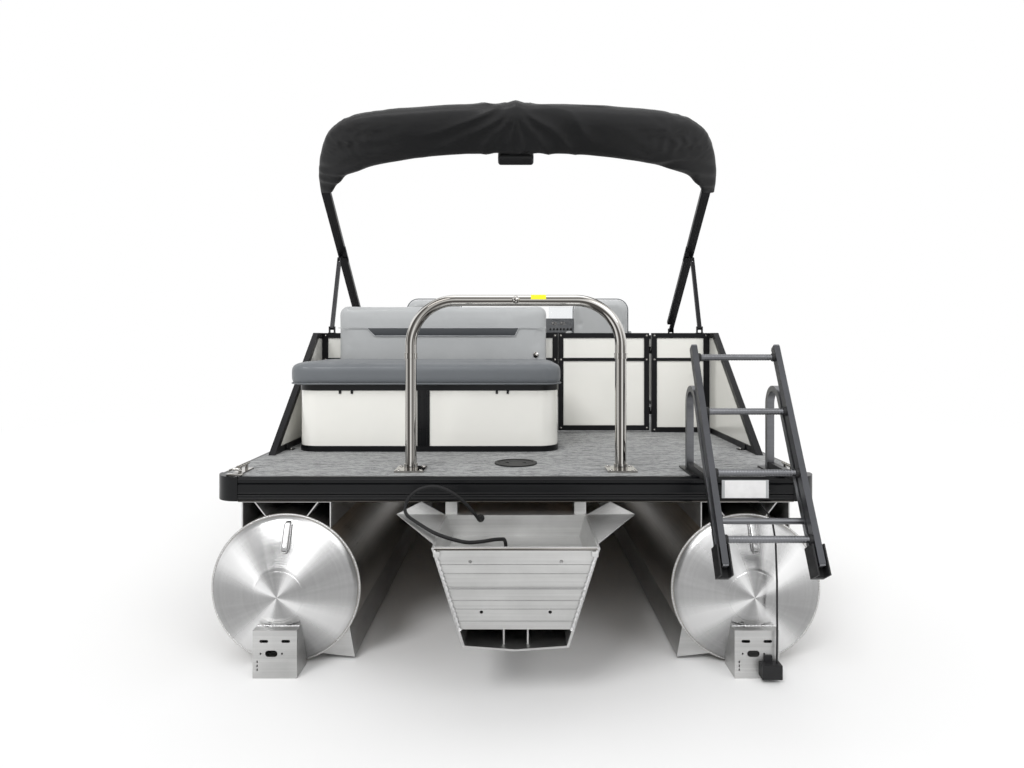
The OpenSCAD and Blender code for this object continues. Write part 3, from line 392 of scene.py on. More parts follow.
@dataclass(frozen=True)
class Upholstery(Finish):
    """Marine vinyl with a fine pebble."""

    pebble: float = 420.0

    def build(self, graph: Graph) -> bpy.types.Material:
        """Make the pebbled vinyl with soft creases."""
        cells = graph.add("ShaderNodeTexVoronoi", {"Vector": graph.coords(), "Scale": self.pebble},
                          feature="SMOOTH_F1").outputs["Distance"]
        creases = graph.noise(graph.coords((1, 1, 2.4)), 6.5, 5.0, 0.6)
        tone = graph.noise(graph.coords(), 3.0, 5.0, 0.6)
        graph.relief(cells, 0.00035, 0.55)
        graph.relief(creases, 0.004, 0.28)
        graph.set(Base_Color=graph.ramp(tone, [(0.3, shade(self.color, 0.93)), (0.7, shade(self.color, 1.05))]),
                  Roughness=graph.span(creases, 0.3, 0.7, 0.42, 0.58), Coat_Weight=0.08, Sheen_Weight=0.08)
        return graph.done()


@dataclass(frozen=True)
class Canvas(Finish):
    """Acrylic canvas with a fine cross weave."""

    thread: float = 0.0011

    def build(self, graph: Graph) -> bpy.types.Material:
        """Make the canvas with crumples and a dusty bloom."""
        scale = 1.0 / self.thread / 6.283
        warp = graph.add("ShaderNodeTexWave", {"Vector": graph.coords(), "Scale": scale},
                         bands_direction="X").outputs["Fac"]
        weft = graph.add("ShaderNodeTexWave", {"Vector": graph.coords(), "Scale": scale},
                         bands_direction="Z").outputs["Fac"]
        crumple = graph.noise(graph.coords((1, 1.6, 1.6)), 11.0, 6.0, 0.62)
        bloom = graph.noise(graph.coords(), 2.2, 5.0, 0.6)
        graph.relief(graph.math("MULTIPLY", warp, weft), 0.0003, 0.6)
        graph.relief(crumple, 0.006, 0.35)
        graph.set(Base_Color=graph.ramp(bloom, [(0.3, shade(self.color, 0.8)), (0.72, shade(self.color, 1.35))]),
                  Roughness=0.46, Specular_IOR_Level=0.3)
        return graph.done()


@dataclass(frozen=True)
class Moulding(Finish):
    """Moulded plastic or rubber."""

    roughness: float = 0.5
    texture: float = 0.0001
    gloss: float = 0.25

    def build(self, graph: Graph) -> bpy.types.Material:
        """Make the moulded surface with scuffs."""
        speck = graph.noise(graph.coords(), 650.0, 2.0)
        scuff = graph.noise(graph.coords((4, 4, 9)), 2.0, 6.0, 0.7)
        graph.relief(speck, self.texture, 0.6)
        graph.set(
            Base_Color=graph.ramp(scuff, [(0.4, self.color), (0.75, shade(self.color, 1.3))]),
            Specular_IOR_Level=self.gloss,
            Roughness=graph.span(scuff, 0.3, 0.75, self.roughness * 0.85, min(1.0, self.roughness * 1.25)))
        return graph.done()


@dataclass(frozen=True)
class Plywood(Finish):
    """Treated deck plywood, seen from below."""

    def build(self, graph: Graph) -> bpy.types.Material:
        """Make the veneer with long grain."""
        rings = graph.noise(graph.coords((14, 0.8, 14)), 1.2, 7.0, 0.65)
        pores = graph.noise(graph.coords((320, 9, 320)), 1.0, 2.0)
        graph.relief(pores, 0.0004, 0.5)
        graph.set(Base_Color=graph.ramp(rings, [(0.3, shade(self.color, 0.6)), (0.5, self.color),
                                                (0.7, shade(self.color, 1.25))]), Roughness=0.8)
        return graph.done()


@dataclass(frozen=True)
class Acrylic(Finish):
    """Clear sheet."""

    def build(self, graph: Graph) -> bpy.types.Material:
        """Make the clear sheet with faint smears."""
        smear = graph.noise(graph.coords((6, 6, 2)), 2.0, 5.0)
        graph.set(Base_Color=self.color, Transmission_Weight=1.0, IOR=1.49,
                  Roughness=graph.span(smear, 0.35, 0.7, 0.02, 0.03))
        return graph.done()


@dataclass(frozen=True)
class BlankLabel(Finish):
    """White label with a plain pale border and nothing on it."""

    band: tuple[float, float, float, float] = (0.45, 0.46, 0.47, 1.0)

    def build(self, graph: Graph) -> bpy.types.Material:
        """Make the label in the UV square of its face."""
        place = graph.add("ShaderNodeSeparateXYZ", {0: graph.coords(uv=True)})
        side = graph.math("ABSOLUTE", graph.math("SUBTRACT", place.outputs[0], 0.5))
        rise = graph.math("ABSOLUTE", graph.math("SUBTRACT", place.outputs[1], 0.5))
        reach = graph.math("MAXIMUM", graph.math("ADD", side, 0.028), rise)
        border = graph.math("GREATER_THAN", reach, 0.465)
        smudge = graph.noise(graph.coords(), 30.0, 4.0)
        face = graph.ramp(smudge, [(0.3, shade(self.color, 0.93)), (0.6, self.color)])
        graph.set(Base_Color=graph.mix(border, face, self.band), Roughness=0.35)
        return graph.done()


TUBE_METAL = BareMetal("rolled_aluminium", linear(176, 173, 168), Grain.ROLLED, 0.33)
CAP_METAL = BareMetal("spun_aluminium", linear(208, 208, 208), Grain.SPUN, 0.26)
PLATE_METAL = BareMetal("plate_aluminium", linear(196, 196, 195), Grain.EXTRUDED, 0.42)
WELD_METAL = BareMetal("weld_bead", linear(212, 212, 212), Grain.WELD, 0.35)
POLISHED = BareMetal("polished_stainless", linear(224, 222, 219), Grain.POLISHED, 0.07)
RUNG_METAL = BareMetal("rung_aluminium", linear(118, 119, 122), Grain.EXTRUDED, 0.34)
BLACK_COAT = PowderCoat("black_anodised", linear(27, 27, 29))
LADDER_COAT = PowderCoat("charcoal_anodised", linear(66, 67, 70), 0.34)
PANEL = PanelSkin("cream_panel", linear(238, 237, 231))
DECK_VINYL = WovenVinyl("woven_vinyl", linear(145, 146, 146), linear(62, 64, 66))
PALE_VINYL = Upholstery("pale_grey_vinyl", linear(175, 177, 178))
DARK_VINYL = Upholstery("slate_vinyl", linear(97, 101, 105))
ACCENT_VINYL = Upholstery("dark_slate_vinyl", linear(58, 61, 65))
BOOT_CANVAS = Canvas("black_canvas", linear(29, 29, 30))
RAIL_PLASTIC = Moulding("rub_rail_plastic", linear(6, 7, 9), 0.3, 0.00005)
BLACK_PLASTIC = Moulding("black_plastic", linear(30, 30, 31), 0.5)
RUBBER = Moulding("black_rubber", linear(24, 24, 25), 0.62)
DASH_PLASTIC = Moulding("dash_charcoal", linear(44, 46, 49), 0.45)
DIAL_FACE = Moulding("dial_face", linear(16, 17, 19), 0.2, 0.00002)
TAPE_YELLOW = Moulding("yellow_tape", linear(240, 226, 40), 0.45)
PIPING = Moulding("pale_piping", linear(196, 198, 200), 0.45)
BOARD = Plywood("deck_plywood", linear(176, 140, 96))
CLEAR = Acrylic("clear_acrylic", (0.93, 0.95, 0.96, 1.0))
LABEL = BlankLabel("blank_label", linear(240, 240, 240))


# ------------------------------------------------------------------ modelling


@dataclass(frozen=True)
class Datum:
    """Turns boat distances into the frame's coordinates."""

    stern: float
    deck: float

    def at(self, x: float, y: float, z: float) -> Vector:
        """Return a point given from the centreline, the stern edge and the ground."""
        return Vector((x, self.stern + y, z))

    def on_deck(self, x: float, y: float, rise: float = 0.0) -> Vector:
        """Return a point given from the centreline, the stern edge and the deck."""
        return Vector((x, self.stern + y, self.deck + rise))


def release() -> None:
    """Leave edit mode and deselect everything."""
    if bpy.context.object and bpy.context.object.mode != "OBJECT":
        bpy.ops.object.mode_set(mode="OBJECT")
    bpy.ops.object.select_all(action="DESELECT")


def pick(*pieces: bpy.types.Object) -> None:
    """Select the pieces alone and make the first one active."""
    release()
    for piece in pieces:
        piece.select_set(True)
    bpy.context.view_layer.objects.active = pieces[0]


def edit(piece: bpy.types.Object, select: Callable[[Any], bool] | None = None, mode: str = "FACE") -> None:
    """Enter edit mode on a piece with chosen elements selected.

    Args:
        piece: The piece to edit.
        select: Test of a bmesh element; nothing means all.
        mode: Element kind, VERT, EDGE or FACE.
    """
    pick(piece)
    bpy.ops.object.mode_set(mode="EDIT")
    bpy.ops.mesh.select_mode(type=mode)
    bpy.ops.mesh.select_all(action="SELECT" if select is None else "DESELECT")
    if select is not None:
        mesh = bmesh.from_edit_mesh(piece.data)
        for element in {"VERT": mesh.verts, "EDGE": mesh.edges, "FACE": mesh.faces}[mode]:
            element.select_set(bool(select(element)))
        mesh.select_flush_mode()
        bmesh.update_edit_mesh(piece.data)


def apply_modifier(piece: bpy.types.Object, kind: str, **settings: Any) -> bpy.types.Object:
    """Add a modifier to a piece and apply it.

    Args:
        piece: The piece.
        kind: Blender's name for the modifier.
        **settings: Its settings.

    Returns:
        The piece.
    """
    pick(piece)
    modifier = piece.modifiers.new(kind.lower(), kind)
    for key, value in settings.items():
        setattr(modifier, key, value)
    bpy.ops.object.modifier_apply(modifier=modifier.name)
    return piece


def bevel(piece: bpy.types.Object, width: float, segments: int = 2, angle: float = 30.0) -> bpy.types.Object:
    """Round the sharp edges of a piece."""
    return apply_modifier(piece, "BEVEL", width=width, segments=segments, limit_method="ANGLE",
                          angle_limit=math.radians(angle), harden_normals=False)


def outward(piece: bpy.types.Object) -> bpy.types.Object:
    """Merge doubled points and make every face point outwards."""
    edit(piece)
    bpy.ops.mesh.remove_doubles(threshold=1e-5)
    bpy.ops.mesh.normals_make_consistent(inside=False)
    release()
    return piece


def block(name: str, low: Point, high: Point, edge: float = 0.003, segments: int = 2) -> bpy.types.Object:
    """Model a bar or plate between two corners, with rounded edges.

    Args:
        name: Name of the piece.
        low: Lowest corner.
        high: Highest corner.
        edge: Radius of the edges.
        segments: Segments of each edge.

    Returns:
        The piece.
    """
    release()
    first, last = Vector(low), Vector(high)
    bpy.ops.mesh.primitive_cube_add(size=1, location=(first + last) / 2)
    piece = bpy.context.object
    piece.name = name
    piece.scale = last - first
    bpy.ops.object.transform_apply(location=True, rotation=True, scale=True)
    return bevel(piece, edge, segments) if edge else piece


def prism(name: str, outline: Sequence[Point], push: Point, edge: float = 0.0,
          segments: int = 2) -> bpy.types.Object:
    """Model a plate by pushing a flat outline along a vector.

    Args:
        name: Name of the piece.
        outline: Corners in order.
        push: Vector of the extrusion.
        edge: Radius of the edges, or zero.
        segments: Segments of each edge.

    Returns:
        The piece.
    """
    release()
    bpy.ops.mesh.primitive_circle_add(vertices=len(outline), radius=1, fill_type="NGON")
    piece = bpy.context.object
    piece.name = name
    for vertex, corner in zip(piece.data.vertices, outline):
        vertex.co = corner
    edit(piece)
    bpy.ops.mesh.extrude_region_move(TRANSFORM_OT_translate={"value": tuple(push)})
    release()
    outward(piece)
    return bevel(piece, edge, segments) if edge else piece


def wrap(name: str, rings: Sequence[Sequence[Point]], ends: bool = True, seam: bool = True) -> bpy.types.Object:
    """Model a skin by wrapping a grid round a row of rings.

    Args:
        name: Name of the piece.
        rings: Rings of points, all of one length.
        ends: Whether the first and last ring are closed by a face.
        seam: Whether each ring closes on itself.

    Returns:
        The piece, with the grid's UV map.
    """
    release()
    around = len(rings[0]) + (1 if seam else 0)
    bpy.ops.mesh.primitive_grid_add(x_subdivisions=around - 1, y_subdivisions=len(rings) - 1, size=1)
    piece = bpy.context.object
    piece.name = name
    rows = np.array([list(ring) + ([ring[0]] if seam else []) for ring in rings], dtype=float)
    piece.data.vertices.foreach_set("co", rows.reshape(-1))
    piece.data.update()
    if seam:
        edit(piece)
        bpy.ops.mesh.remove_doubles(threshold=1e-6)
        if ends:
            bpy.ops.mesh.select_all(action="DESELECT")
            bpy.ops.mesh.select_mode(type="EDGE")
            bpy.ops.mesh.select_non_manifold()
            bpy.ops.mesh.edge_face_add()
            bpy.ops.mesh.select_all(action="SELECT")
        bpy.ops.mesh.normals_make_consistent(inside=False)
        release()
    return piece


def across(axis: Vector) -> tuple[Vector, Vector]:
    """Return two unit vectors square to an axis and to each other."""
    helper = Vector((0, 0, 1)) if abs(axis.z) < 0.9 else Vector((1, 0, 0))
    first = axis.cross(helper).normalized()
    return first, axis.cross(first).normalized()


def lathe(name: str, centre: Point, axis: Point, profile: Sequence[tuple[float, float]],
          steps: int = 32) -> bpy.types.Object:
    """Model a turned piece by spinning a profile.

    Args:
        name: Name of the piece.
        centre: Point on the axis from which heights count.
        axis: Direction of the axis.
        profile: Radius and height of each point.
        steps: Steps of the spin.

    Returns:
        The piece.
    """
    middle, line = Vector(centre), Vector(axis).normalized()
    side, _ = across(line)
    release()
    bpy.ops.mesh.primitive_circle_add(vertices=3, radius=1, fill_type="NOTHING")
    piece = bpy.context.object
    piece.name = name
    for vertex in piece.data.vertices:
        vertex.co = middle + line * profile[0][1] + side * max(profile[0][0], 1e-5)
    edit(piece, mode="VERT")
    bpy.ops.mesh.merge(type="CENTER")
    last = profile[0]
    for radius, height in profile[1:]:
        step = side * (max(radius, 1e-5) - max(last[0], 1e-5)) + line * (height - last[1])
        bpy.ops.mesh.extrude_region_move(TRANSFORM_OT_translate={"value": tuple(step)})
        last = (radius, height)
    bpy.ops.mesh.select_all(action="SELECT")
    bpy.ops.mesh.spin(steps=steps, angle=math.tau, center=middle, axis=line)
    bpy.ops.mesh.select_all(action="SELECT")
    bpy.ops.mesh.remove_doubles(threshold=2e-5)
    bpy.ops.mesh.normals_make_consistent(inside=False)
    release()
    return piece


def pipe(name: str, points: Sequence[Point], radius: float, sides: int = 5,
         closed: bool = False) -> bpy.types.Object:
    """Model a round bar or bead along a path.

    Args:
        name: Name of the piece.
        points: The path.
        radius: Radius of the bar.
        sides: Bevel resolution of its section.
        closed: Whether the path closes on itself.

    Returns:
        The piece as a mesh.
    """
    release()
    bpy.ops.curve.primitive_bezier_curve_add()
    piece = bpy.context.object
    piece.name = name
    curve = piece.data
    curve.splines.clear()
    spline = curve.splines.new("POLY")
    spline.points.add(len(points) - 1)
    for slot, point in zip(spline.points, points):
        slot.co = (*point, 1.0)
    spline.use_cyclic_u = closed
    curve.bevel_depth = radius
    curve.bevel_resolution = sides
    curve.use_fill_caps = True
    bpy.ops.object.convert(target="MESH")
    piece = bpy.context.object
    return outward(piece)


def copies(master: bpy.types.Object, places: Iterable[Matrix], name: str) -> bpy.types.Object:
    """Copy a piece to several places and join the copies.

    Args:
        master: The piece modelled once; it is removed.
        places: Where each copy goes.
        name: Name of the joined piece.

    Returns:
        The joined piece.
    """
    made = []
    for place in places:
        copy = master.copy()
        copy.data = master.data.copy()
        copy.data.transform(place)
        bpy.context.scene.collection.objects.link(copy)
        made.append(copy)
    bpy.data.objects.remove(master)
    return join(made, name)


def join(pieces: Sequence[bpy.types.Object], name: str) -> bpy.types.Object:
    """Join pieces into one and name it.

    Args:
        pieces: The pieces, each a mesh of its own.
        name: Name of the joined piece.

    Returns:
        The joined piece.
    """
    pick(*pieces)
    if len(pieces) > 1:
        bpy.ops.object.join()
    piece = bpy.context.view_layer.objects.active
    piece.name = name
    return piece


def facing(place: Point, normal: Point, turn: float = 0.0) -> Matrix:
    """Return the matrix that puts a piece modelled along +Z at a place, along a normal."""
    turned = Vector(normal).to_track_quat("Z", "Y").to_matrix().to_4x4()
    return Matrix.Translation(Vector(place)) @ turned @ Matrix.Rotation(turn, 4, "Z")


def dress(piece: bpy.types.Object, finish: Finish, body: str = HULL, smooth: float = 35.0,
          stands_for: Sequence[str] = ()) -> bpy.types.Object:
    """Give a modelled piece its finish, its body and its smooth shading.

    Args:
        piece: The piece.
        finish: Its finish.
        body: The body that it rides on.
        smooth: Angle below which edges are shaded smooth.
        stands_for: CAD nodes that it replaces.

    Returns:
        The piece.
    """
    piece.data.materials.clear()
    piece.data.materials.append(finish.material())
    pick(piece)
    bpy.ops.object.shade_smooth_by_angle(angle=math.radians(smooth))
    release()
    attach(piece, body)
    if stands_for:
        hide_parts(*stands_for)
    LOG.info("%s: %s on %s", piece.name, finish.name, body)
    return piece


def bolt(size: float = 0.008) -> bpy.types.Object:
    """Model a round-headed bolt on its washer, along +Z."""
    return lathe("bolt", (0, 0, 0), (0, 0, 1), [(0, 0.62 * size), (0.5 * size, 0.55 * size),
                                                (0.85 * size, 0.3 * size),
                                                (0.9 * size, 0.15 * size), (1.3 * size, 0.14 * size),
                                                (1.35 * size, -0.002), (0, -0.002)], 12)


def bolts(name: str, places: Sequence[tuple[Point, Point]], size: float, finish: Finish,
          body: str = HULL) -> bpy.types.Object:
    """Place round-headed bolts and dress them.

    Args:
        name: Name of the joined piece.
        places: Each bolt's place and the normal of its face.
        size: Nominal head size.
        finish: Finish of the bolts.
        body: The body they ride on.

    Returns:
        The joined bolts.
    """
    heads = copies(bolt(size), [facing(place, normal) for place, normal in places], name)
    return dress(heads, finish, body)


def smooth_path(points: Sequence[Point], steps: int = 5) -> list[Vector]:
    """Return a smooth curve through all the points.

    Args:
        points: The points to pass through.
        steps: Points made for each span.

    Returns:
        The points of the curve.
    """
    knots = [Vector(p) for p in points]
    knots = [knots[0] * 2 - knots[1], *knots, knots[-1] * 2 - knots[-2]]
    path = []
    for a, b, c, d in zip(knots, knots[1:], knots[2:], knots[3:]):
        for i in range(steps):
            t = i / steps
            path.append(0.5 * (2 * b + (c - a) * t + (2 * a - 5 * b + 4 * c - d) * t * t
                               + (3 * b - a - 3 * c + d) * t ** 3))
    return path + [knots[-2]]


def weld(name: str, points: Sequence[Point], radius: float, body: str = HULL) -> bpy.types.Object:
    """Lay a rippled weld bead along a path and dress it.

    Args:
        name: Name of the bead.
        points: The path of the bead.
        radius: Radius of the bead.
        body: The body that it rides on.

    Returns:
        The bead.
    """
    path: list[Vector] = []
    for start, end in zip(points, points[1:]):
        first, last = Vector(start), Vector(end)
        count = max(1, round((last - first).length / (radius * 0.9)))
        path += [first.lerp(last, i / count) for i in range(count)]
    path.append(Vector(points[-1]))
    bead = pipe(name, path, radius, 2)
    ripple = np.empty(len(bead.data.vertices) * 3)
    bead.data.vertices.foreach_get("co", ripple)
    ripple = ripple.reshape(-1, 3)
    line = np.array([tuple(p) for p in path])
    nearest = np.argmin(((ripple[:, None, :] - line[None, :, :]) ** 2).sum(axis=2), axis=1)
    swell = 0.72 + 0.28 * np.cos(nearest * 2.1)
    ripple = line[nearest] + (ripple - line[nearest]) * swell[:, None]
    bead.data.vertices.foreach_set("co", ripple.reshape(-1))
    return dress(bead, WELD_METAL, body, 60.0)


def swell(piece: bpy.types.Object, voxel: float, cap: float, low: float | None = None,
          pressure: float = 4.0) -> bpy.types.Object:
    """Swell a pad with air inside a cloth skin, as its foam does.

    Args:
        piece: The closed pad, a little smaller than the real one.
        voxel: Size of the remesh.
        cap: Farthest that a point may move.
        low: Height that the pad rests on, or nothing.
        pressure: Pressure inside.

    Returns:
        The pad, with its swelling applied.
    """
    apply_modifier(piece, "REMESH", mode="VOXEL", voxel_size=voxel * 1)
    rest = np.empty(len(piece.data.vertices) * 3)
    piece.data.vertices.foreach_get("co", rest)
    pick(piece)
    air = piece.modifiers.new("air", "CLOTH")
    air.settings.quality = 4
    air.settings.use_pressure = True
    air.settings.uniform_pressure_force = pressure
    air.settings.effector_weights.gravity = 0
    for frame in range(1, 21):
        bpy.context.scene.frame_set(frame)
    bpy.ops.object.modifier_apply(modifier=air.name)
    bpy.context.scene.frame_set(1)
    blown = np.empty_like(rest)
    piece.data.vertices.foreach_get("co", blown)
    move = (blown - rest).reshape(-1, 3)
    far = np.maximum(np.linalg.norm(move, axis=1), 1e-9)
    move *= np.minimum(1.0, cap / far)[:, None]
    rest = rest.reshape(-1, 3) + move
    if low is not None:
        rest[:, 2] = np.maximum(rest[:, 2], low)
    piece.data.vertices.foreach_set("co", rest.reshape(-1))
    piece.data.update()
    apply_modifier(piece, "SUBSURF", levels=1, render_levels=1)
    return piece


def cushion(name: str, outline: Sequence[Point], push: Point, finish: Finish, body: str,
            nodes: Sequence[str], voxel: float = 0.012, cap: float = 0.012, edge: float = 0.03,
            low: float | None = None) -> bpy.types.Object:
    """Model, swell and dress a cushion.

    Args:
        name: Name of the piece.
        outline: Corners of its flat side.
        push: Its thickness as a vector.
        finish: Its cover.
        body: The body that it rides on.
        nodes: CAD nodes that it replaces.
        voxel: Size of the remesh.
        cap: Farthest swell.
        edge: Radius of its edges before it swells.
        low: Height that it rests on.

    Returns:
        The cushion.
    """
    piece = swell(prism(name, outline, push, edge, 4), voxel, cap, low)
    dress(piece, finish, body, 70.0, nodes)
    return piece


def round_box(low: Point, high: Point, radius: float, steps: int = 6, axis: int = 2) -> list[Vector]:
    """Return a rectangle with round corners, square to an axis, at the low corner's level.

    Args:
        low: Lowest corner.
        high: Highest corner.
        radius: Radius of the corners.
        steps: Points of each corner.
        axis: The axis that the rectangle is square to.

    Returns:
        Its outline.
    """
    one, two = [i for i in range(3) if i != axis]
    points = []
    for corner, (u, v) in enumerate(((high, high), (low, high), (low, low), (high, low))):
        middle = Vector(low)
        middle[one] = u[one] - radius if u is high else u[one] + radius
        middle[two] = v[two] - radius if v is high else v[two] + radius
        for i in range(steps + 1):
            angle = math.pi / 2 * (corner + i / steps)
            point = middle.copy()
            point[one] += radius * math.cos(angle)
            point[two] += radius * math.sin(angle)
            points.append(point)
    return points


# ------------------------------------------------------------------ the setting


@dataclass
class Studio:
    """Camera, soft light and a plain floor."""

    datum: Datum
    eye: tuple[float, float, float] = (0.0, -3.0, 1.373)
    lens: float = 24.785
    shift: tuple[float, float] = (-0.0037, -0.043)
    ambient: float = 0.68
    backdrop: float = 1.0
    floor_fade: tuple[float, float] = (4.2, 9.0)
    lamps: tuple[tuple[float, float, float, float], ...] = (
        (48.0, -28.0, 1.3, 22.0), (52.0, 40.0, 0.6, 40.0), (20.0, 170.0, 0.5, 50.0))

    def build(self) -> None:
        """Make the camera, the floor, the lamps and the world."""
        release()
        bpy.ops.object.camera_add(location=self.datum.at(*self.eye), rotation=(math.pi / 2, 0, 0))
        camera = bpy.context.object
        camera.data.lens = self.lens
        camera.data.sensor_width = 36.0
        camera.data.shift_x, camera.data.shift_y = self.shift
        camera.data.clip_end = 200.0
        bpy.context.scene.camera = camera
        bpy.context.scene.view_settings.view_transform = "Standard"
        self.floor()
        for tilt, turn, strength, spread in self.lamps:
            bpy.ops.object.light_add(type="SUN", rotation=(math.radians(tilt), 0, math.radians(turn)))
            lamp = bpy.context.object
            lamp.data.energy = strength
            lamp.data.angle = math.radians(spread)
        self.world()

    def floor(self) -> None:
        """Lay the pale floor."""
        bpy.ops.mesh.primitive_plane_add(size=80, location=(0, 0, -0.0005))
        floor = bpy.context.object
        floor.name = "studio_floor"
        graph = Graph("studio_floor")
        graph.set(Base_Color=(0.86, 0.86, 0.86, 1.0), Roughness=0.75)
        away = graph.add("ShaderNodeVectorMath", {0: graph.coords()}, operation="LENGTH").outputs["Value"]
        far = graph.span(away, self.floor_fade[0], self.floor_fade[1], 0.0, 1.0)
        path = graph.add("ShaderNodeLightPath").outputs
        seen = graph.math("ADD", graph.math("ADD", path["Is Camera Ray"], path["Is Glossy Ray"]),
                          path["Is Transmission Ray"])
        white = graph.add("ShaderNodeEmission", {"Color": (1, 1, 1, 1), "Strength": self.backdrop})
        blend = graph.add("ShaderNodeMixShader", {0: graph.math("MULTIPLY", far, graph.math("MINIMUM", seen, 1.0)),
                                                  1: graph.shader.outputs[0], 2: white.outputs[0]})
        output = next(n for n in graph.tree.nodes if n.type == "OUTPUT_MATERIAL")
        graph.plug(output.inputs["Surface"], blend.outputs[0])
        floor.data.materials.append(graph.done())

    def world(self) -> None:
        """Light the scene evenly, and show a pale backdrop to the camera, to gloss and through glass."""
        world = bpy.data.worlds.new("studio")
        bpy.context.scene.world = world
        world.use_nodes = True
        tree = world.node_tree
        tree.nodes.clear()
        path = tree.nodes.new("ShaderNodeLightPath")
        seen = tree.nodes.new("ShaderNodeMath")
        seen.operation = "ADD"
        tree.links.new(path.outputs["Is Camera Ray"], seen.inputs[0])
        tree.links.new(path.outputs["Is Glossy Ray"], seen.inputs[1])
        shown = tree.nodes.new("ShaderNodeMath")
        shown.operation, shown.use_clamp = "ADD", True
        tree.links.new(seen.outputs[0], shown.inputs[0])
        tree.links.new(path.outputs["Is Transmission Ray"], shown.inputs[1])
        soft, plain, mixed = (tree.nodes.new(kind) for kind in (
            "ShaderNodeBackground", "ShaderNodeBackground", "ShaderNodeMixShader"))
        soft.inputs["Strength"].default_value = self.ambient
        plain.inputs["Strength"].default_value = self.backdrop
        for background in (soft, plain):
            background.inputs["Color"].default_value = (1, 1, 1, 1)
        tree.links.new(shown.outputs[0], mixed.inputs["Fac"])
        tree.links.new(soft.outputs[0], mixed.inputs[1])
        tree.links.new(plain.outputs[0], mixed.inputs[2])
        output = tree.nodes.new("ShaderNodeOutputWorld")
        tree.links.new(mixed.outputs[0], output.inputs["Surface"])


# ------------------------------------------------------------------ below the deck


@dataclass
class Assembly:
    """A part of the boat, with the datum and the CAD nodes that it works on."""

    datum: Datum
    nodes: dict[str, bpy.types.Object]

    def finish(self, finish: Finish, *names: str) -> None:
        """Give CAD nodes that stay in view a better finish."""
        for name in names:
            for slot in self.nodes[name].material_slots:
                slot.material = finish.material()


@dataclass
class RiggingHose(Assembly):
    """The motor's loose hose between the splash well and its hole in the pod."""

    diameter: float = 0.014
    route: tuple[tuple[int, int, float], ...] = (
        (-150, 0, 615), (-150, -35, 615), (-155, -72, 630), (-175, -105, 667), (-215, -125, 715),
        (-267, -132, 755), (-327, -132, 776), (-388, -130, 766), (-433, -130, 732), (-449, -142, 693),
        (-438, -170, 672), (-408, -212, 662), (-370, -265, 656), (-330, -320, 650), (-286, -368, 645),
        (-236, -396, 637), (-180, -402, 627), (-126, -388, 626), (-82, -356, 624), (-55, -321, 616),
        (-45, -293, 607), (-40, -272, 588), (-38, -265, 562), (-38, -265, 540.5))

    def build(self) -> None:
        """Lay the hose along its route, with a grommet where it leaves."""
        path = smooth_path([self.datum.at(x / 1000, y / 1000, z / 1000) for x, y, z in self.route])
        hose = dress(pipe("loose_hose", path, self.diameter / 2, 4), RUBBER, HULL, 60.0,
                     ["rigging_hose"])
        length = sum((b - a).length for a, b in zip(path, path[1:]))
        grommet = lathe("hose_grommet", path[0], (0, -1, 0),
                        [(0.0071, 0), (0.017, 0), (0.0165, 0.004), (0.0115, 0.007), (0.0098, 0.016),
                         (0.0071, 0.018)], 24)
        dress(grommet, RUBBER)
        tuple(path[0])
        [tuple(p) for p in path]
        LOG.info("loose_hose: %.3f m", length)


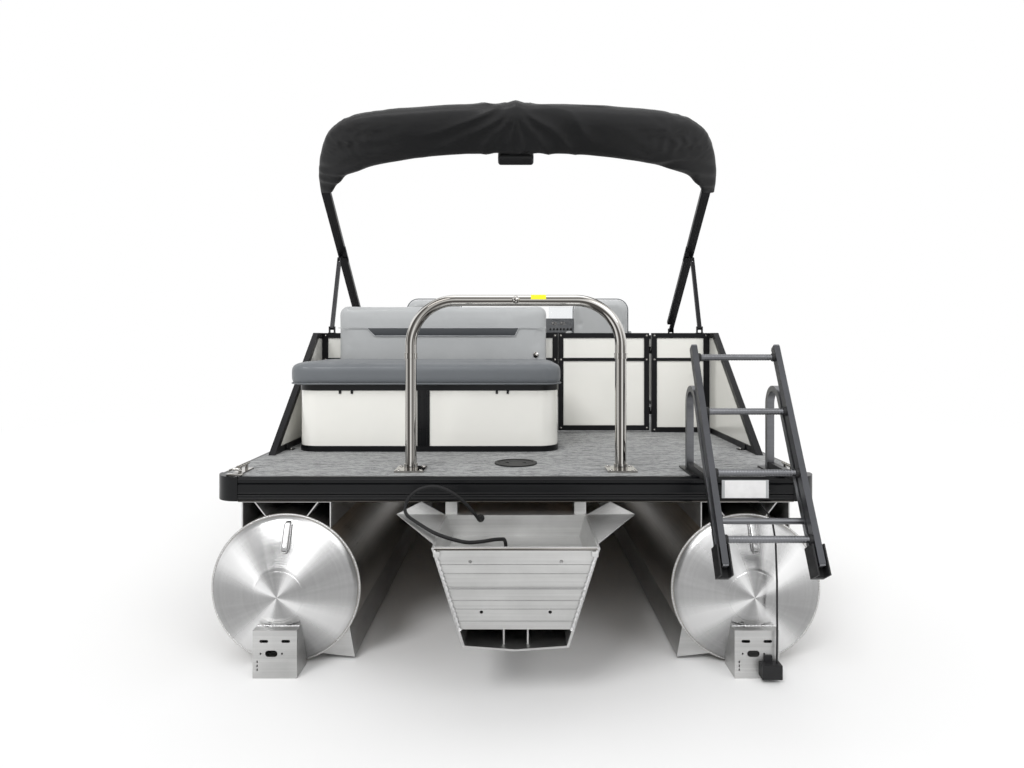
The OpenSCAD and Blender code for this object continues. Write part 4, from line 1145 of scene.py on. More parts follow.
@dataclass
class Pontoons(Assembly):
    """The two tubes with their spun end caps, noses, welds and tabs."""

    radius: float = 0.3175
    offset: float = TUBE_OFFSET
    straight: float = 5.6
    nose: tuple[tuple[float, float, float], ...] = (
        (-0.002, -0.001, 0.0), (0.13, -0.006, 0.004), (0.26, -0.016, 0.016), (0.38, -0.035, 0.034),
        (0.5, -0.062, 0.06), (0.6, -0.092, 0.09), (0.7, -0.128, 0.124), (0.78, -0.166, 0.162),
        (0.85, -0.21, 0.204), (0.9, -0.262, 0.255))
    around: int = 96

    def ring(self, side: int, y: float, radius: float, lift: float = 0.0) -> list[Vector]:
        """Return one ring of points round a tube."""
        middle, height = side * self.offset, self.radius + lift
        return [self.datum.at(middle + radius * math.sin(a), y, height - radius * math.cos(a))
                for a in (math.tau * i / self.around for i in range(self.around))]

    def build(self) -> None:
        """Make both tubes."""
        for side, label in zip(SIDES, ("port", "starboard")):
            rings = [self.ring(side, 0.001 + self.straight * i / 12, self.radius) for i in range(13)]
            rings += [self.ring(side, self.straight + y, self.radius + change, lift)
                      for y, change, lift in self.nose[1:]]
            tube = wrap(f"{label}_pontoon", rings)
            dress(tube, TUBE_METAL, HULL, 40.0, [f"{label}_tube"])
            self.cap(side, label)
            self.seams(side, label)
            LOG.info("%s pontoon", label)

    def cap(self, side: int, label: str) -> None:
        """Make the spun cap with its rim weld, centre ring and tab.

        Args:
            side: -1 for port, 1 for starboard.
            label: Name of the side.
        """
        r = self.radius
        profile = [(0, 0.1176), (0.02, 0.1158), (0.318 * r, 0.1015), (0.326 * r, 0.0995),
                   (0.336 * r, 0.0992), (0.37 * r, 0.0942), (0.6 * r, 0.061), (0.9 * r, 0.021),
                   (0.945 * r, 0.0125), (0.965 * r, 0.006), (0.97 * r, -0.02)]
        centre = self.datum.at(side * self.offset, 0, r)
        dress(lathe(f"{label}_tube_cap", centre, (0, -1, 0), profile, 96), CAP_METAL, HULL, 28.0)
        rim = self.ring(side, 0.002, 0.985 * r)
        weld(f"{label}_rim_weld", rim + rim[:1], 0.0048)
        x = side * self.offset + 0.005
        tab = [self.datum.at(x, y, z) for y, z in (
            (-0.004, 0.612), (-0.034, 0.606), (-0.078, 0.520), (-0.085, 0.505),
            (-0.080, 0.494), (-0.052, 0.494), (0.0, 0.594))]
        dress(prism(f"{label}_cap_tab", tab, (0.026, 0, 0), 0.007, 4), CAP_METAL)
        foot = [self.datum.at(x + u, y, z) for u, y, z in (
            (-0.002, -0.03, 0.60), (-0.002, -0.069, 0.508), (0.006, -0.076, 0.490), (0.020, -0.076, 0.490),
            (0.028, -0.069, 0.508), (0.028, -0.03, 0.60))]
        weld(f"{label}_tab_weld", foot, 0.0035)

    def seams(self, side: int, label: str) -> None:
        """Lay the girth welds of the tube and the nose's weld."""
        for index, y in enumerate((1.87, 3.73, 5.598)):
            rim = self.ring(side, y, self.radius - 0.0004)
            weld(f"{label}_girth_weld_{index}", rim + rim[:1], 0.0034)


@dataclass
class MotorPod(Assembly):
    """The motor pod with its planked transom, welds and compartments."""

    tilt: float = 12.5
    low: tuple[float, float] = (-0.410, 0.310)
    walls: tuple[tuple[float, float], ...] = ((0.197, 0.235), (0.302, 0.628))
    planks: tuple[tuple[float, float], ...] = ((0.034, 0.0007), (0.083, 0.0007), (0.118, 0.0007), (0.165, 0.0016),
                                               (0.172, 0.0009), (0.226, 0.0007), (0.262, 0.0007))

    def on_face(self, x: float, rise: float, out: float = 0.0) -> Vector:
        """Return a point on the transom's aft face.

        Args:
            x: Distance from the centreline.
            rise: Distance up the face.
            out: Distance proud of the face.

        Returns:
            The point.
        """
        lean = math.radians(self.tilt)
        y = self.low[0] - rise * math.sin(lean) - out * math.cos(lean)
        return self.datum.at(x, y, self.low[1] + rise * math.cos(lean) - out * math.sin(lean))

    def width(self, z: float) -> float:
        """Return the pod's half width at a height."""
        (low_half, low), (high_half, high) = self.walls
        return low_half + (high_half - low_half) * (z - low) / (high - low)

    def build(self) -> None:
        """Dress the pod and add what is fixed on it."""
        self.finish(PLATE_METAL, "motor_pod", "transom_plate", "splash_wings")
        grooves = []
        for rise, thick in self.planks:
            half = self.width(self.low[1] + rise) - 0.014
            corners = [self.on_face(-half, rise, 0.0008), self.on_face(half, rise, 0.0008)]
            grooves.append(pipe(f"plank_edge_{rise}", corners, thick, 2))
        dress(join(grooves, "plank_edges"), CAP_METAL)
        band = [self.on_face(-0.292, 0.318, -0.004), self.on_face(0.292, 0.318, -0.004),
                self.on_face(0.292, 0.3265, -0.004), self.on_face(-0.292, 0.3265, -0.004)]
        dress(prism("transom_cap_band", band, self.on_face(0, 0, 0.0025) - self.on_face(0, 0, -0.004), 0.001),
              POLISHED)
        for side, label in zip(SIDES, ("port", "starboard")):
            points = [self.on_face(side * (self.width(0.31 + r) - 0.011), r, 0.003)
                      for r in np.linspace(0.0, 0.32, 24)]
            weld(f"{label}_transom_weld", points, 0.0085)
            corner = self.on_face(side * 0.283, 0.306, 0.004)
            dress(block(f"{label}_transom_block", corner - Vector((0.012, 0.008, 0.010)),
                        corner + Vector((0.012, 0.006, 0.010)), 0.002), PLATE_METAL)
            low = self.datum.at(side * 0.197, -0.38, 0.236)
            high = self.datum.at(side * 0.301, -0.47, 0.627)
            weld(f"{label}_pod_weld", [low, high], 0.004)
        LOG.info("motor pod")


@dataclass
class SternFittings(Assembly):
    """Tube brackets, the sounder's head and its lead."""

    offset: float = TUBE_OFFSET

    def build(self) -> None:
        """Dress the brackets and the sounder."""
        self.finish(PLATE_METAL, "stern_brackets", "tube_risers", "lifting_strakes", "crossmembers")
        self.finish(BLACK_PLASTIC, "transducer")
        for side, label in zip(SIDES, ("port", "starboard")):
            x = side * self.offset
            edges = [self.datum.at(x + u, -0.0995, 0.194) for u in (-0.088, 0.088)]
            inward = Vector((0, 0.006, 0))
            weld(f"{label}_bracket_weld", [edges[0] + inward, edges[1] + inward], 0.0055)
        LOG.info("stern fittings")


@dataclass
class DeckEdge(Assembly):
    """The woven floor, the rub rail with its ribs, and what is fixed on the deck's edge."""

    half: float = 1.2925
    rail_low: float = 0.686

    def build(self) -> None:
        """Dress the deck and the rub rail."""
        self.finish(DECK_VINYL, "deck_floor")
        self.finish(BOARD, "deck")
        self.finish(RAIL_PLASTIC, "rub_rail", "rub_rail_corners")
        self.finish(POLISHED, "cleats")
        self.finish(BLACK_PLASTIC, "deck_plate")
        self.ribs()
        self.label()
        for index, (x, y) in enumerate(((-1.2095, 0.035), (1.2095, 0.035))):
            base = self.datum.on_deck(x, y, -0.0005)
            ring = [base + Vector((0.026 * math.cos(a), 0.010 * math.sin(a), 0.017 + 0.011 * abs(math.sin(a))))
                    for a in (math.tau * i / 28 for i in range(28))]
            loop = pipe(f"corner_ring_{index}", ring, 0.0042, 4, True)
            foot = block(f"corner_foot_{index}", base - Vector((0.034, 0.013, 0)),
                         base + Vector((0.034, 0.013, 0.008)), 0.003)
            dress(join([foot, loop], f"corner_pull_{index}"), POLISHED)
        LOG.info("deck edge")

    def ribs(self) -> None:
        """Run the rail's rounded ribs and its bright lower line along stern, bow and sides."""
        low = self.rail_low
        runs = (("stern", (-1.185, 0.003), (1.185, 0.003), (0, -1)),
                ("bow", (-1.185, 6.597), (1.185, 6.597), (0, 1)),
                ("port", (-self.half, 0.11), (-self.half, 6.49), (-1, 0)),
                ("starboard", (self.half, 0.11), (self.half, 6.49), (1, 0)))
        for label, start, end, out in runs:
            bars = []
            for rise, radius in ((0.012, 0.0045), (0.024, 0.0035), (0.034, 0.0035), (0.092, 0.004)):
                reach = Vector((out[0], out[1], 0)) * -radius * 0.45
                ends = [self.datum.at(x, y, low + rise) + reach for x, y in (start, end)]
                bars.append(pipe(f"{label}_rib", ends, radius, 3))
            dress(join(bars, f"{label}_rail_ribs"), RUBBER)
            line = [self.datum.at(x - out[0] * 0.004, y - out[1] * 0.004, low - 0.0015) for x, y in (start, end)]
            dress(pipe(f"{label}_rail_line", line, 0.0028, 2), POLISHED)

    def label(self) -> None:
        """Stick the blank label on the stern rail."""
        low, high = self.datum.at(0.877, 0.0014, 0.698), self.datum.at(1.077, 0.0026, 0.777)
        release()
        bpy.ops.mesh.primitive_grid_add(x_subdivisions=2, y_subdivisions=2, size=1)
        piece = bpy.context.object
        for vertex in piece.data.vertices:
            u, v = vertex.co.x + 0.5, vertex.co.y + 0.5
            vertex.co = (low.x + (high.x - low.x) * u, low.y, low.z + (high.z - low.z) * v)
        piece.name = "blank_label"
        apply_modifier(piece, "SOLIDIFY", thickness=0.0008, offset=0)
        dress(piece, LABEL)


@dataclass
class TowBar(Assembly):
    """The polished tow bar with its sleeves, tape and base bolts."""

    leg: float = 0.47
    line: float = 0.16
    top: float = 1.54975
    radius: float = 0.02525

    def build(self) -> None:
        """Dress the bar and add what is on it."""
        self.finish(POLISHED, "tow_bar")
        places = [(self.datum.on_deck(side * self.leg + u, self.line + v, 0.0079), (0, 0, 1))
                  for side in SIDES for u in (-0.05, 0.05) for v in (-0.05, 0.05)]
        bolts("tow_bar_bolts", places, 0.0085, POLISHED)
        wrap_on = lathe("tow_bar_tape", self.datum.at(0.067, self.line, self.top), (1, 0, 0),
                        [(self.radius - 0.001, 0), (self.radius + 0.0009, 0.0005), (self.radius + 0.0009, 0.0675),
                         (self.radius - 0.001, 0.068)], 40)
        edit(wrap_on, lambda v: v.co.z < self.top + 0.003, "VERT")
        bpy.ops.mesh.delete(type="VERT")
        release()
        apply_modifier(wrap_on, "SOLIDIFY", thickness=0.0006, offset=-1)
        dress(wrap_on, TAPE_YELLOW)
        rings = [lathe("ring", self.datum.at(side * self.leg, self.line, z), (0, 0, 1),
                       [(self.radius, -0.003), (self.radius + 0.0042, -0.002), (self.radius + 0.0042, 0.002),
                        (self.radius, 0.003)], 32) for side in SIDES for z in (1.292, 1.311)]
        dress(join(rings, "tow_bar_rings"), POLISHED)
        LOG.info("tow bar")


@dataclass
class BoardingLadder(Assembly):
    """The folding ladder with bright rungs, end cups and treads."""

    rails: tuple[float, float] = (0.78, 1.14)
    origin: tuple[float, float] = (-0.32, 0.523)
    tilt: float = 60.2
    rungs: tuple[float, ...] = (0.867, 0.61, 0.344, 0.08)
    inset: float = 0.0125
    face: float = 0.044
    ribs: int = 26
    bare: float = 0.02
    cup: tuple[tuple[float, float], ...] = (
        (0.0125, 0), (0.0185, 0.0), (0.0185, 0.010), (0.0165, 0.013), (0.0128, 0.0135))

    def local(self, x: float, u: float, n: float) -> Vector:
        """Return a point from distances up the ladder and square to it."""
        c, s = math.cos(math.radians(self.tilt)), math.sin(math.radians(self.tilt))
        return self.datum.at(x, self.origin[0] + u * c - n * s, self.origin[1] + u * s + n * c)

    def build(self) -> None:
        """Dress the ladder and add its rungs, cups and caps."""
        self.finish(RUNG_METAL, "ladder_upper")
        self.finish(LADDER_COAT, "ladder_lower")
        self.finish(BLACK_COAT, "ladder_brackets")
        self.finish(BLACK_PLASTIC, "ladder_pivots")
        left, right = self.rails
        along = self.local(0, 1, 0) - self.local(0, 0, 0)
        out = self.local(0, 0, 1) - self.local(0, 0, 0)
        sleeves, cups, caps = [], [], []
        for rise in self.rungs:
            start = self.local(left + self.inset, rise, self.face)
            end = self.local(right - self.inset, rise, self.face)
            profile = [(0.0121, 0.0)]
            step = (end.x - start.x - 2 * self.bare) / self.ribs
            for i in range(self.ribs):
                at = self.bare + step * i
                profile += [(0.0137, at + step * 0.1), (0.0137, at + step * 0.62), (0.0130, at + step * 0.72),
                            (0.0130, at + step * 0.98)]
            profile.append((0.0121, end.x - start.x))
            sleeves.append(lathe("rung", start, (1, 0, 0), profile, 20))
            for place, way in ((start, 1), (end, -1)):
                cups.append(lathe("cup", place, (way, 0, 0), self.cup, 20))
        dress(join(sleeves, "ladder_rungs"), RUNG_METAL, "ladder_fold")
        dress(join(cups, "ladder_rung_cups"), BLACK_PLASTIC, "ladder_fold")
        for x in self.rails:
            for u, way in ((0.915, 1), (-0.015, -1)):
                centre = self.local(x, u, self.face)
                cap = block("cap", (-0.0122, -0.0197, 0), (0.0122, 0.0197, 0.007), 0.003)
                cap.data.transform(Matrix.Translation(centre) @ Matrix((
                    (1, 0, 0, 0), (0, out.y, way * along.y, 0), (0, out.z, way * along.z, 0), (0, 0, 0, 1))))
                caps.append(outward(cap))
        dress(join(caps, "ladder_end_caps"), RUNG_METAL, "ladder_fold")
        LOG.info("ladder")


@dataclass
class Fences(Assembly):
    """Square-tube fences and gates with their glossy panels and rivets."""

    def build(self) -> None:
        """Dress frames and panels, and rivet the panels."""
        sides = ("port", "starboard", "stern", "bow")
        self.finish(BLACK_COAT, *(f"{side}_fence_frame" for side in sides), "stern_gate_frame", "bow_gate_frame")
        self.finish(PANEL, *(f"{side}_fence_panels" for side in sides), "stern_gate_panel", "bow_gate_panel")
        self.feet()
        self.rivets()
        LOG.info("fences")

    def rivets(self) -> None:
        """Set bright rivets in the frames' corners and posts."""
        aft = (0, -1, 0)
        heights = (0.806, 1.249, 1.401)
        fixed = [(self.datum.at(x, 1.4542, z), aft) for x in (-1.202, 0.248, 0.876, 1.202) for z in heights]
        for side in SIDES:
            for y in (1.454, 2.554, 3.660, 4.760, 5.8):
                fixed += [(self.datum.at(side * 1.2498, y, z), (side, 0, 0)) for z in (0.806, 1.401)]
        bolts("fence_rivets", fixed, 0.0046, POLISHED)
        swung = [(self.datum.at(x, 1.4542, z), aft) for x in (0.285, 0.827) for z in (0.818, 1.249, 1.401)]
        bolts("stern_gate_rivets", swung, 0.0046, POLISHED, "stern_gate")

    def feet(self) -> None:
        """Bolt the side fences to the deck with small angle feet."""
        feet, places = [], []
        for side in SIDES:
            for y in (0.75, 1.4, 2.5, 3.6, 4.7, 5.7):
                inner = side * 1.2165
                low = self.datum.on_deck(min(inner, inner - side * 0.038), y - 0.019, 0.0002)
                high = self.datum.on_deck(max(inner, inner - side * 0.038), y + 0.019, 0.0045)
                feet.append(block("foot", low, high, 0.001, 1))
                low = self.datum.on_deck(min(inner, inner - side * 0.004), y - 0.019, 0.0002)
                high = self.datum.on_deck(max(inner, inner - side * 0.004), y + 0.019, 0.03)
                feet.append(block("foot", low, high, 0.001, 1))
                places.append((self.datum.on_deck(inner - side * 0.022, y, 0.0044), (0, 0, 1)))
        dress(join(feet, "fence_feet"), BLACK_COAT)
        bolts("fence_foot_bolts", places, 0.007, POLISHED)


@dataclass
class SternLounge(Assembly):
    """The aft sunbed: banded base, lifting cushion and back."""

    def build(self) -> None:
        """Model the cushion and the back, and dress the base."""
        self.finish(PANEL, "stern_seat_base")
        self.finish(RAIL_PLASTIC, "stern_seat_trim")
        at = self.datum.at
        low, high = at(-1.194, 0.624, BENCH_TOP), at(0.249, 1.290, 1.2475)
        outline = round_box(low, high, 0.105)
        pad = cushion("stern_cushion", outline, (0, 0, high.z - low.z), DARK_VINYL, "stern_lid",
                      ["stern_seat_cushion"], 0.012, 0.014, 0.03, BENCH_TOP)
        self.cushion_seam()
        self.post()
        self.back()
        LOG.info("%s", pad.name)

    def cushion_seam(self) -> None:
        """Run the piping round the cushion's lower edge."""
        low, high = self.datum.at(-1.181, 0.632, 1.147), self.datum.at(0.237, 1.288, 1.147)
        path = round_box(low, high, 0.108, 10)
        dress(pipe("stern_cushion_piping", path, 0.0038, 3, True), DARK_VINYL, "stern_lid")

    def post(self) -> None:
        """Cover the joint of the base panels with a ribbed post, and hang the hooks under the band."""
        at = self.datum.at
        bars = [block("bar", at(x, 0.6735, 0.819), at(x + wide, 0.6815, 1.11), 0.0018)
                for x, wide in ((-0.514, 0.014), (-0.498, 0.033), (-0.463, 0.014))]
        dress(join(bars, "stern_base_post"), RAIL_PLASTIC)
        hooks = [block("hook", at(x - 0.006, 0.6725, 1.092), at(x + 0.006, 0.681, 1.112), 0.002)
                 for x in (-0.917, -0.855, -0.099, -0.042)]
        dress(join(hooks, "stern_base_hooks"), RUBBER)

    def back(self) -> None:
        """Model the back with its dark inset and pull."""
        at = self.datum.at
        low, high = at(-1.102, 1.354, BENCH_TOP), at(0.200, 1.354, 1.590)
        outline = round_box(low, high, 0.055, 6, 1)
        back = swell(prism("stern_back", outline, (0, 0.083, 0), 0.028, 4), 0.012, 0.012, BENCH_TOP)
        dress(back, PALE_VINYL, HULL, 70.0, ["stern_seat_back"])
        face = 1.3345
        inset = [at(x, face, z) for x, z in ((-0.867, 1.398), (-0.006, 1.398), (0.018, 1.447), (-0.916, 1.447))]
        dress(prism("stern_back_inset", inset, (0, 0.016, 0), 0.004), ACCENT_VINYL)
        path = [Vector(p) - Vector((0, 0.0005, 0)) for p in inset]
        dress(pipe("stern_back_piping", path, 0.0019, 3, True), PIPING)
        seam = [at(-1.09, face, 1.447), at(0.188, face, 1.447)]
        dress(pipe("stern_back_seam", seam, 0.0022, 3), PALE_VINYL)
        pull = lathe("stern_back_pull", at(0.123, 1.3385, 1.281), (0, -1, 0),
                     [(0.0, 0.005), (0.012, 0.0045), (0.0165, 0.002), (0.017, -0.004)], 24)
        dress(pull, POLISHED)


@dataclass
class BowLounges(Assembly):
    """The two bow lounges with lifting cushions and side backs."""

    starts: tuple[tuple[int, str, float], ...] = ((-1, "port", 4.3), (1, "starboard", 4.96))
    end: float = 5.85

    def build(self) -> None:
        """Model both lounges' cushions and backs."""
        self.finish(PANEL, "bow_seat_bases")
        backs = []
        for side, label, start in self.starts:
            low = self.datum.at(min(side * 0.632, side * 1.060), start + 0.012, BENCH_TOP)
            high = self.datum.at(max(side * 0.632, side * 1.060), self.end - 0.012, 1.243)
            cushion(f"{label}_bow_seat", round_box(low, high, 0.06), (0, 0, high.z - low.z), DARK_VINYL,
                    f"{label}_bow_lid", [f"{label}_bow_cushion"], 0.014, 0.012, 0.03,
                    BENCH_TOP)
            low = self.datum.at(side * 1.118, start + 0.012, BENCH_TOP)
            high = self.datum.at(side * 1.118, self.end - 0.012, 1.467)
            outline = round_box(low, high, 0.05, 6, 0)
            back = prism(f"{label}_bow_back", outline, (side * 0.076, 0, 0), 0.026, 4)
            backs.append(swell(back, 0.014, 0.01, BENCH_TOP))
        back = dress(join(backs, "bow_backs"), PALE_VINYL, HULL, 70.0, ["bow_seat_backs"])
        LOG.info("bow lounges")


@dataclass
class Helm(Assembly):
    """Console, dash, screen, wheel and throttle."""

    dash_low: float = 1.4503

    def build(self) -> None:
        """Dress the helm and add gauges and switches."""
        self.finish(BLACK_PLASTIC, "helm_console")
        self.finish(DASH_PLASTIC, "helm_dash")
        self.finish(CLEAR, "windscreen")
        self.finish(RUBBER, "steering_wheel")
        self.finish(BLACK_PLASTIC, "throttle")
        self.gauges()
        LOG.info("helm")

    def on_dash(self, x: float, rise: float) -> Vector:
        """Return a point on the dash's sloping front, from its lower edge up."""
        low, high = self.datum.at(x, 4.17, self.dash_low), self.datum.at(x, 4.45, self.dash_low + 0.15)
        return low.lerp(high, rise)

    def gauges(self) -> None:
        """Set four gauges, a row of switches and a speaker into the helm."""
        slope = self.on_dash(0, 1) - self.on_dash(0, 0)
        normal = Vector((0, -slope.z, slope.y)).normalized()
        ring = [(0.027, -0.002), (0.034, -0.002), (0.034, 0.004), (0.031, 0.006), (0.027, 0.0035)]
        places = [(self.on_dash(x, 0.62), 0.8 if x < 0.5 else 1.0) for x in (0.40, 0.49, 0.94, 1.03)]
        rims = copies(lathe("rim", (0, 0, 0), (0, 0, 1), ring, 28),
                      [facing(place, normal) @ Matrix.Scale(size, 4) for place, size in places], "gauge_rims")
        dress(rims, POLISHED)
        face = [(0, 0.0018), (0.0278, 0.0018), (0.0278, -0.003), (0, -0.003)]
        faces = copies(lathe("face", (0, 0, 0), (0, 0, 1), face, 28),
                       [facing(place, normal) @ Matrix.Scale(size, 4) for place, size in places], "gauge_faces")
        dress(faces, DIAL_FACE)
        knob = [(0, 0.016), (0.0075, 0.0155), (0.009, 0.012), (0.0105, 0.002), (0.013, 0.001),
                (0.013, -0.002), (0, -0.002)]
        switches = copies(lathe("knob", (0, 0, 0), (0, 0, 1), knob, 16),
                          [facing(self.on_dash(0.355 + 0.035 * i, 0.2), normal) for i in range(7)], "dash_knobs")
        dress(switches, RUBBER)
        screen = block("chart", (-0.115, -0.075, -0.002), (0.115, 0.075, 0.005), 0.004)
        screen.data.transform(facing(self.on_dash(0.72, 0.6), normal))
        dress(screen, DIAL_FACE)
        grille = [(0.078, 0.0), (0.078, 0.005), (0.072, 0.007), (0.066, 0.004)]
        for i in range(7):
            radius = 0.062 - 0.0085 * i
            grille += [(radius, 0.004), (radius - 0.003, 0.0015), (radius - 0.0055, 0.004)]
        grille += [(0, 0.0045)]
        speaker = lathe("console_speaker", self.datum.at(0.3305, 4.46, 1.12), (-1, 0, 0), grille, 40)
        dress(speaker, RUBBER)


@dataclass
class SwivelChair(Assembly):
    """A swivelling chair with a padded seat, back and arms."""

    name: str = "captain_chair"
    x: float = 0.75
    y: float = 3.48
    seat: float = 1.16
    half: float = 0.245
    seam: float = 0.243
    arm_out: float = 0.265

    def build(self) -> None:
        """Model the chair's pads, piping and arms."""
        self.finish(POLISHED, "chair_pedestals")
        self.pads()
        self.piping()
        self.inset()
        self.arms()
        LOG.info("%s", self.name)

    def pads(self) -> None:
        """Swell the seat and the back."""
        at, x, y, s = self.datum.at, self.x, self.y, self.seat
        outline = round_box(at(x - self.half, y - 0.238, s + 0.004), at(x + self.half, y + 0.248, s + 0.004), 0.07)
        seat = swell(prism("seat", outline, (0, 0, 0.104), 0.03, 4), 0.013, 0.012, s)
        low, high = at(x - self.half, y - 0.315, s + 0.11), at(x + self.half, y - 0.315, s + 0.578)
        outline = round_box(low, high, 0.10, 6, 1)
        back = swell(prism("back", outline, (0, 0.165, 0), 0.05, 4), 0.014, 0.012)
        pads = join([back, seat], f"{self.name}_pads")
        dress(pads, PALE_VINYL, self.name, 70.0, [self.name])

    def piping(self) -> None:
        """Run the piping round the back and the seat."""
        at, x, y, s = self.datum.at, self.x, self.y, self.seat
        low, high = at(x - self.seam, y - 0.233, s + 0.112), at(x + self.seam, y - 0.233, s + 0.576)
        edge = round_box(low, high, 0.10, 8, 1)
        rim = round_box(at(x - self.seam, y - 0.236, s + 0.094), at(x + self.seam, y + 0.246, s + 0.094), 0.07, 8)
        piping = [pipe("piping", path, 0.0045, 3, True) for path in (edge, rim)]
        dress(join(piping, f"{self.name}_piping"), DARK_VINYL, self.name)

    def inset(self) -> None:
        """Lay the seat's dark inset."""
        at, x, y, top = self.datum.at, self.x, self.y, self.seat + 0.106
        outline = round_box(at(x - 0.17, y, top), at(x + 0.17, y + 0.19, top), 0.05, 6)
        dress(prism(f"{self.name}_inset", outline, (0, 0, 0.0125), 0.006, 3), DARK_VINYL, self.name)

    def arms(self) -> None:
        """Model the arms with their stays and their rubber tips."""
        arms, tips = [], []
        for side in SIDES:
            middle = self.x + side * self.arm_out
            arms.append(self.bar("arm", middle, 0.020, -0.19, 0.118, 0.255, 0.015, 0.038))
            stay = self.x + side * 0.262
            arms.append(block("stay", self.datum.at(stay - 0.012, self.y - 0.18, self.seat + 0.05),
                              self.datum.at(stay + 0.012, self.y - 0.14, self.seat + 0.262), 0.006))
            tips.append(self.bar("tip", middle, 0.022, 0.06, 0.125, 0.252, 0.018, 0.044))
        dress(join(arms, f"{self.name}_arms"), PALE_VINYL, self.name)
        dress(join(tips, f"{self.name}_arm_tips"), RUBBER, self.name)

    def bar(self, name: str, middle: float, half: float, aft: float, ahead: float, low: float,
            corner: float, thick: float) -> bpy.types.Object:
        """Model one rounded bar along the chair's side.

        Args:
            name: Name of the bar.
            middle: Its distance from the centreline.
            half: Half its width.
            aft: Its aft end, from the chair's axis.
            ahead: Its forward end, from the chair's axis.
            low: Its underside above the seat's base.
            corner: Radius of its corners.
            thick: Its height.

        Returns:
            The bar.
        """
        outline = round_box(self.datum.at(middle - half, self.y + aft, self.seat + low),
                            self.datum.at(middle + half, self.y + ahead, self.seat + low), corner, 4)
        return prism(name, outline, (0, 0, thick), 0.012, 3)


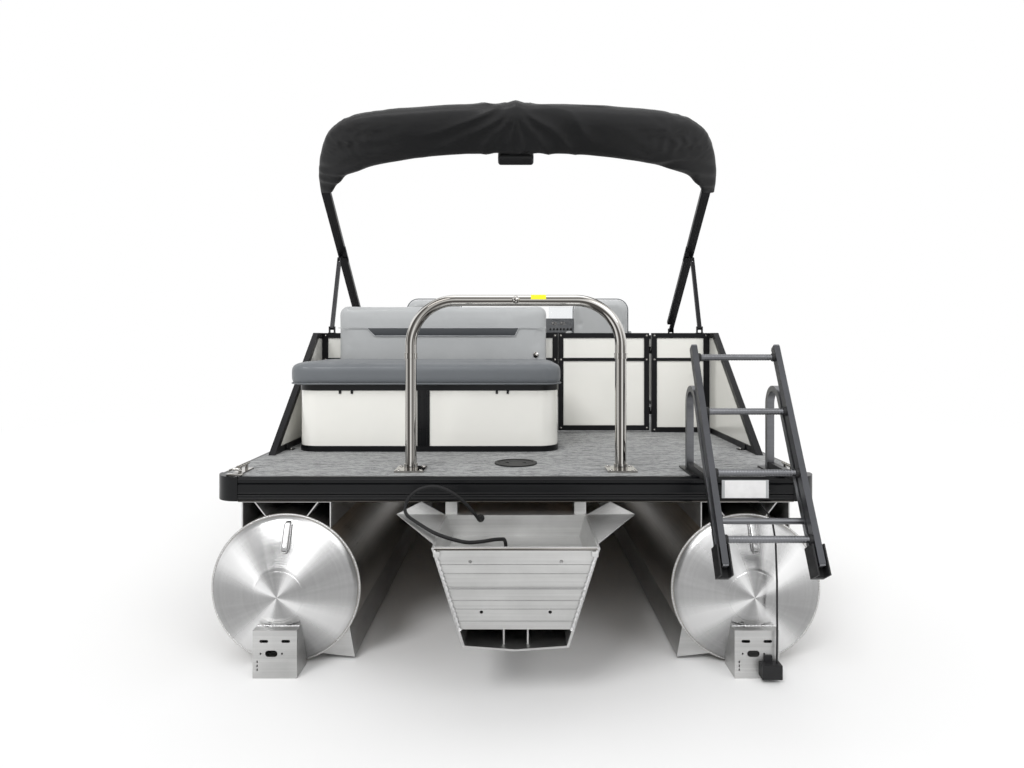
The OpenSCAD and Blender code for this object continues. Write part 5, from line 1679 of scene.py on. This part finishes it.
@dataclass
class Bimini(Assembly):
    """The folded bimini: frame, props, light and zipped boot."""

    pivot: tuple[float, float] = (2.57, 1.447)
    tilt: float = 39.0
    stations: tuple[tuple[float, float, float, float, float], ...] = (
        (0.0, 2.011, 0.0, 1.690, 0.160), (0.300, 2.003, 0.300, 1.684, 0.160),
        (0.548, 1.986, 0.584, 1.659, 0.160), (0.891, 1.947, 0.861, 1.600, 0.156),
        (1.069, 1.861, 0.965, 1.560, 0.150), (1.142, 1.765, 1.047, 1.524, 0.132),
        (1.190, 1.650, 1.105, 1.465, 0.104), (1.225, 1.520, 1.140, 1.430, 0.078),
        (1.241, 1.3923, 1.164, 1.3923, 0.050))
    around: int = 96

    def point(self, x: float, u: float, n: float) -> Vector:
        """Return a point from distances up the bimini's legs and square to them."""
        c, s = math.cos(math.radians(self.tilt)), math.sin(math.radians(self.tilt))
        return self.datum.at(x, self.pivot[0] - u * c - n * s, self.pivot[1] + u * s - n * c)

    def build(self) -> None:
        """Dress the frame and drape the boot."""
        self.finish(BLACK_COAT, "bimini_frame", "port_bimini_prop", "starboard_bimini_prop", "bimini_mounts")
        self.boot()
        self.light()
        knees = [(self.point(side * 1.2389, u, 0.0), (side, 0, 0)) for side in SIDES for u in (0.792, 0.822, 1.3)]
        bolts("bimini_knee_rivets", knees, 0.0062, POLISHED, BIMINI)
        LOG.info("bimini")

    def folds(self, x: float, u: float, side: float) -> float:
        """Return how far the slack canvas stands out at a place.

        Args:
            x: Distance from the centreline.
            u: Distance up the legs.
            side: Which face of the boot, from -1 to 1.

        Returns:
            The height of the fold.
        """
        dx, du = abs(x), max(2.04 - u, 0.0)
        reach = math.hypot(dx, du)
        turn = math.atan2(du, dx + 1e-6)
        wander = noise.noise(Vector((x * 3.1, u * 3.7, side * 2.0)))
        ridge = 1.0 - 2.0 * abs(math.sin(turn * 7.5 + wander * 2.5 + side)) ** 0.6
        rays = ridge * 0.0095 * min(1.0, (reach / 0.13) ** 2) * math.exp(-((reach - 0.14) / 0.42) ** 2)
        gather = math.sin(u * 62 + 6 * wander + 9 * dx) * 0.0045 * min(1.0, max(0.0, (dx - 0.62) / 0.3))
        pucker = math.sin(x * 70 + 4 * wander) * 0.005 * math.exp(-((x / 0.2) ** 2) - ((u - 1.72) / 0.07) ** 2)
        shoulder = min(1.0, max(0.12, (dx - 0.62) / 0.25)) * min(1.0, max(0.1, (u - 1.66) / 0.12))
        crumple = 0.004 * noise.noise(Vector((x * 4, u * 9, side)))
        crumple -= 0.013 * shoulder * abs(noise.noise(Vector((x * 15, u * 27, side))))
        return rays + gather + pucker + crumple

    def boot(self) -> None:
        """Wrap the boot round its stations, with its centre peak and its folds."""
        table = np.array(self.stations)
        knots = np.vstack([2 * table[0] - table[1], table, 2 * table[-1] - table[-2]])
        knots[0, 0] = knots[0, 2] = -table[1, 0]
        rings = []
        count = 300
        for i in range(count + 1):
            along = (i / count * 2 - 1) * (len(table) - 1)
            side, t = math.copysign(1, along), abs(along)
            k = min(int(t), len(table) - 2)
            f = t - k
            a0, a1, a2, a3 = knots[k:k + 4]
            xo, uo, xi, ui, thick = 0.5 * (2 * a1 + (a2 - a0) * f + (2 * a0 - 5 * a1 + 4 * a2 - a3) * f * f
                                           + (3 * a1 - a0 - 3 * a2 + a3) * f ** 3)
            ring = []
            for j in range(self.around):
                c, s = math.cos(math.tau * j / self.around), math.sin(math.tau * j / self.around)
                depth = math.copysign(abs(c) ** 0.72, c) * 0.5 + 0.5
                width = math.copysign(abs(s) ** 0.8, s) * thick * 0.45
                x = side * (xi + (xo - xi) * depth) * (1.018 if side > 0 else 1.0)
                u = ui + (uo - ui) * depth
                fade = min(1.0, (count / 2 - abs(i - count / 2)) / 12)
                fold = self.folds(x, u, math.copysign(1, s)) * fade
                peak = 0.016 * math.exp(-(x / 0.035) ** 2) * max(c, 0.0)
                ring.append(self.point(x, u + fold * c * 0.5 + peak, width + fold * s))
            rings.append(ring)
        boot = wrap("bimini_boot_cover", rings)
        dress(boot, BOOT_CANVAS, BIMINI, 70.0, ["bimini_boot"])

    def light(self) -> None:
        """Model the rounded light housing."""
        half = 0.108
        outline = []
        for x, u in ((-half, 1.612), (half, 1.612), (half, 1.682), (-half, 1.682)):
            outline.append(self.point(x, u, -0.036))
        push = self.point(0, 0, 0.076) - self.point(0, 0, 0.0)
        house = prism("light_housing", outline, push, 0.018, 4)
        dress(house, BLACK_PLASTIC, BIMINI, 40.0, ["bimini_light"])


# ------------------------------------------------------------------ everything in order


def main() -> None:
    """Load the frame, build every sub-assembly and note the sizes."""
    logging.basicConfig(level=logging.INFO, format="%(name)s: %(message)s")
    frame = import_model()
    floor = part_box("deck_floor")
    datum = Datum(stern=floor[0].y - 0.025, deck=floor[1].z)
    nodes = frame["nodes"]
    Studio(datum).build()
    for part in (RiggingHose, Pontoons, MotorPod, SternFittings, DeckEdge, TowBar, BoardingLadder, Fences,
                 SternLounge, BowLounges, Helm, SwivelChair, Bimini):
        part(datum, nodes).build()
    SwivelChair(datum, nodes, "companion_chair", -0.72).build()


if __name__ == "__main__":
    main()
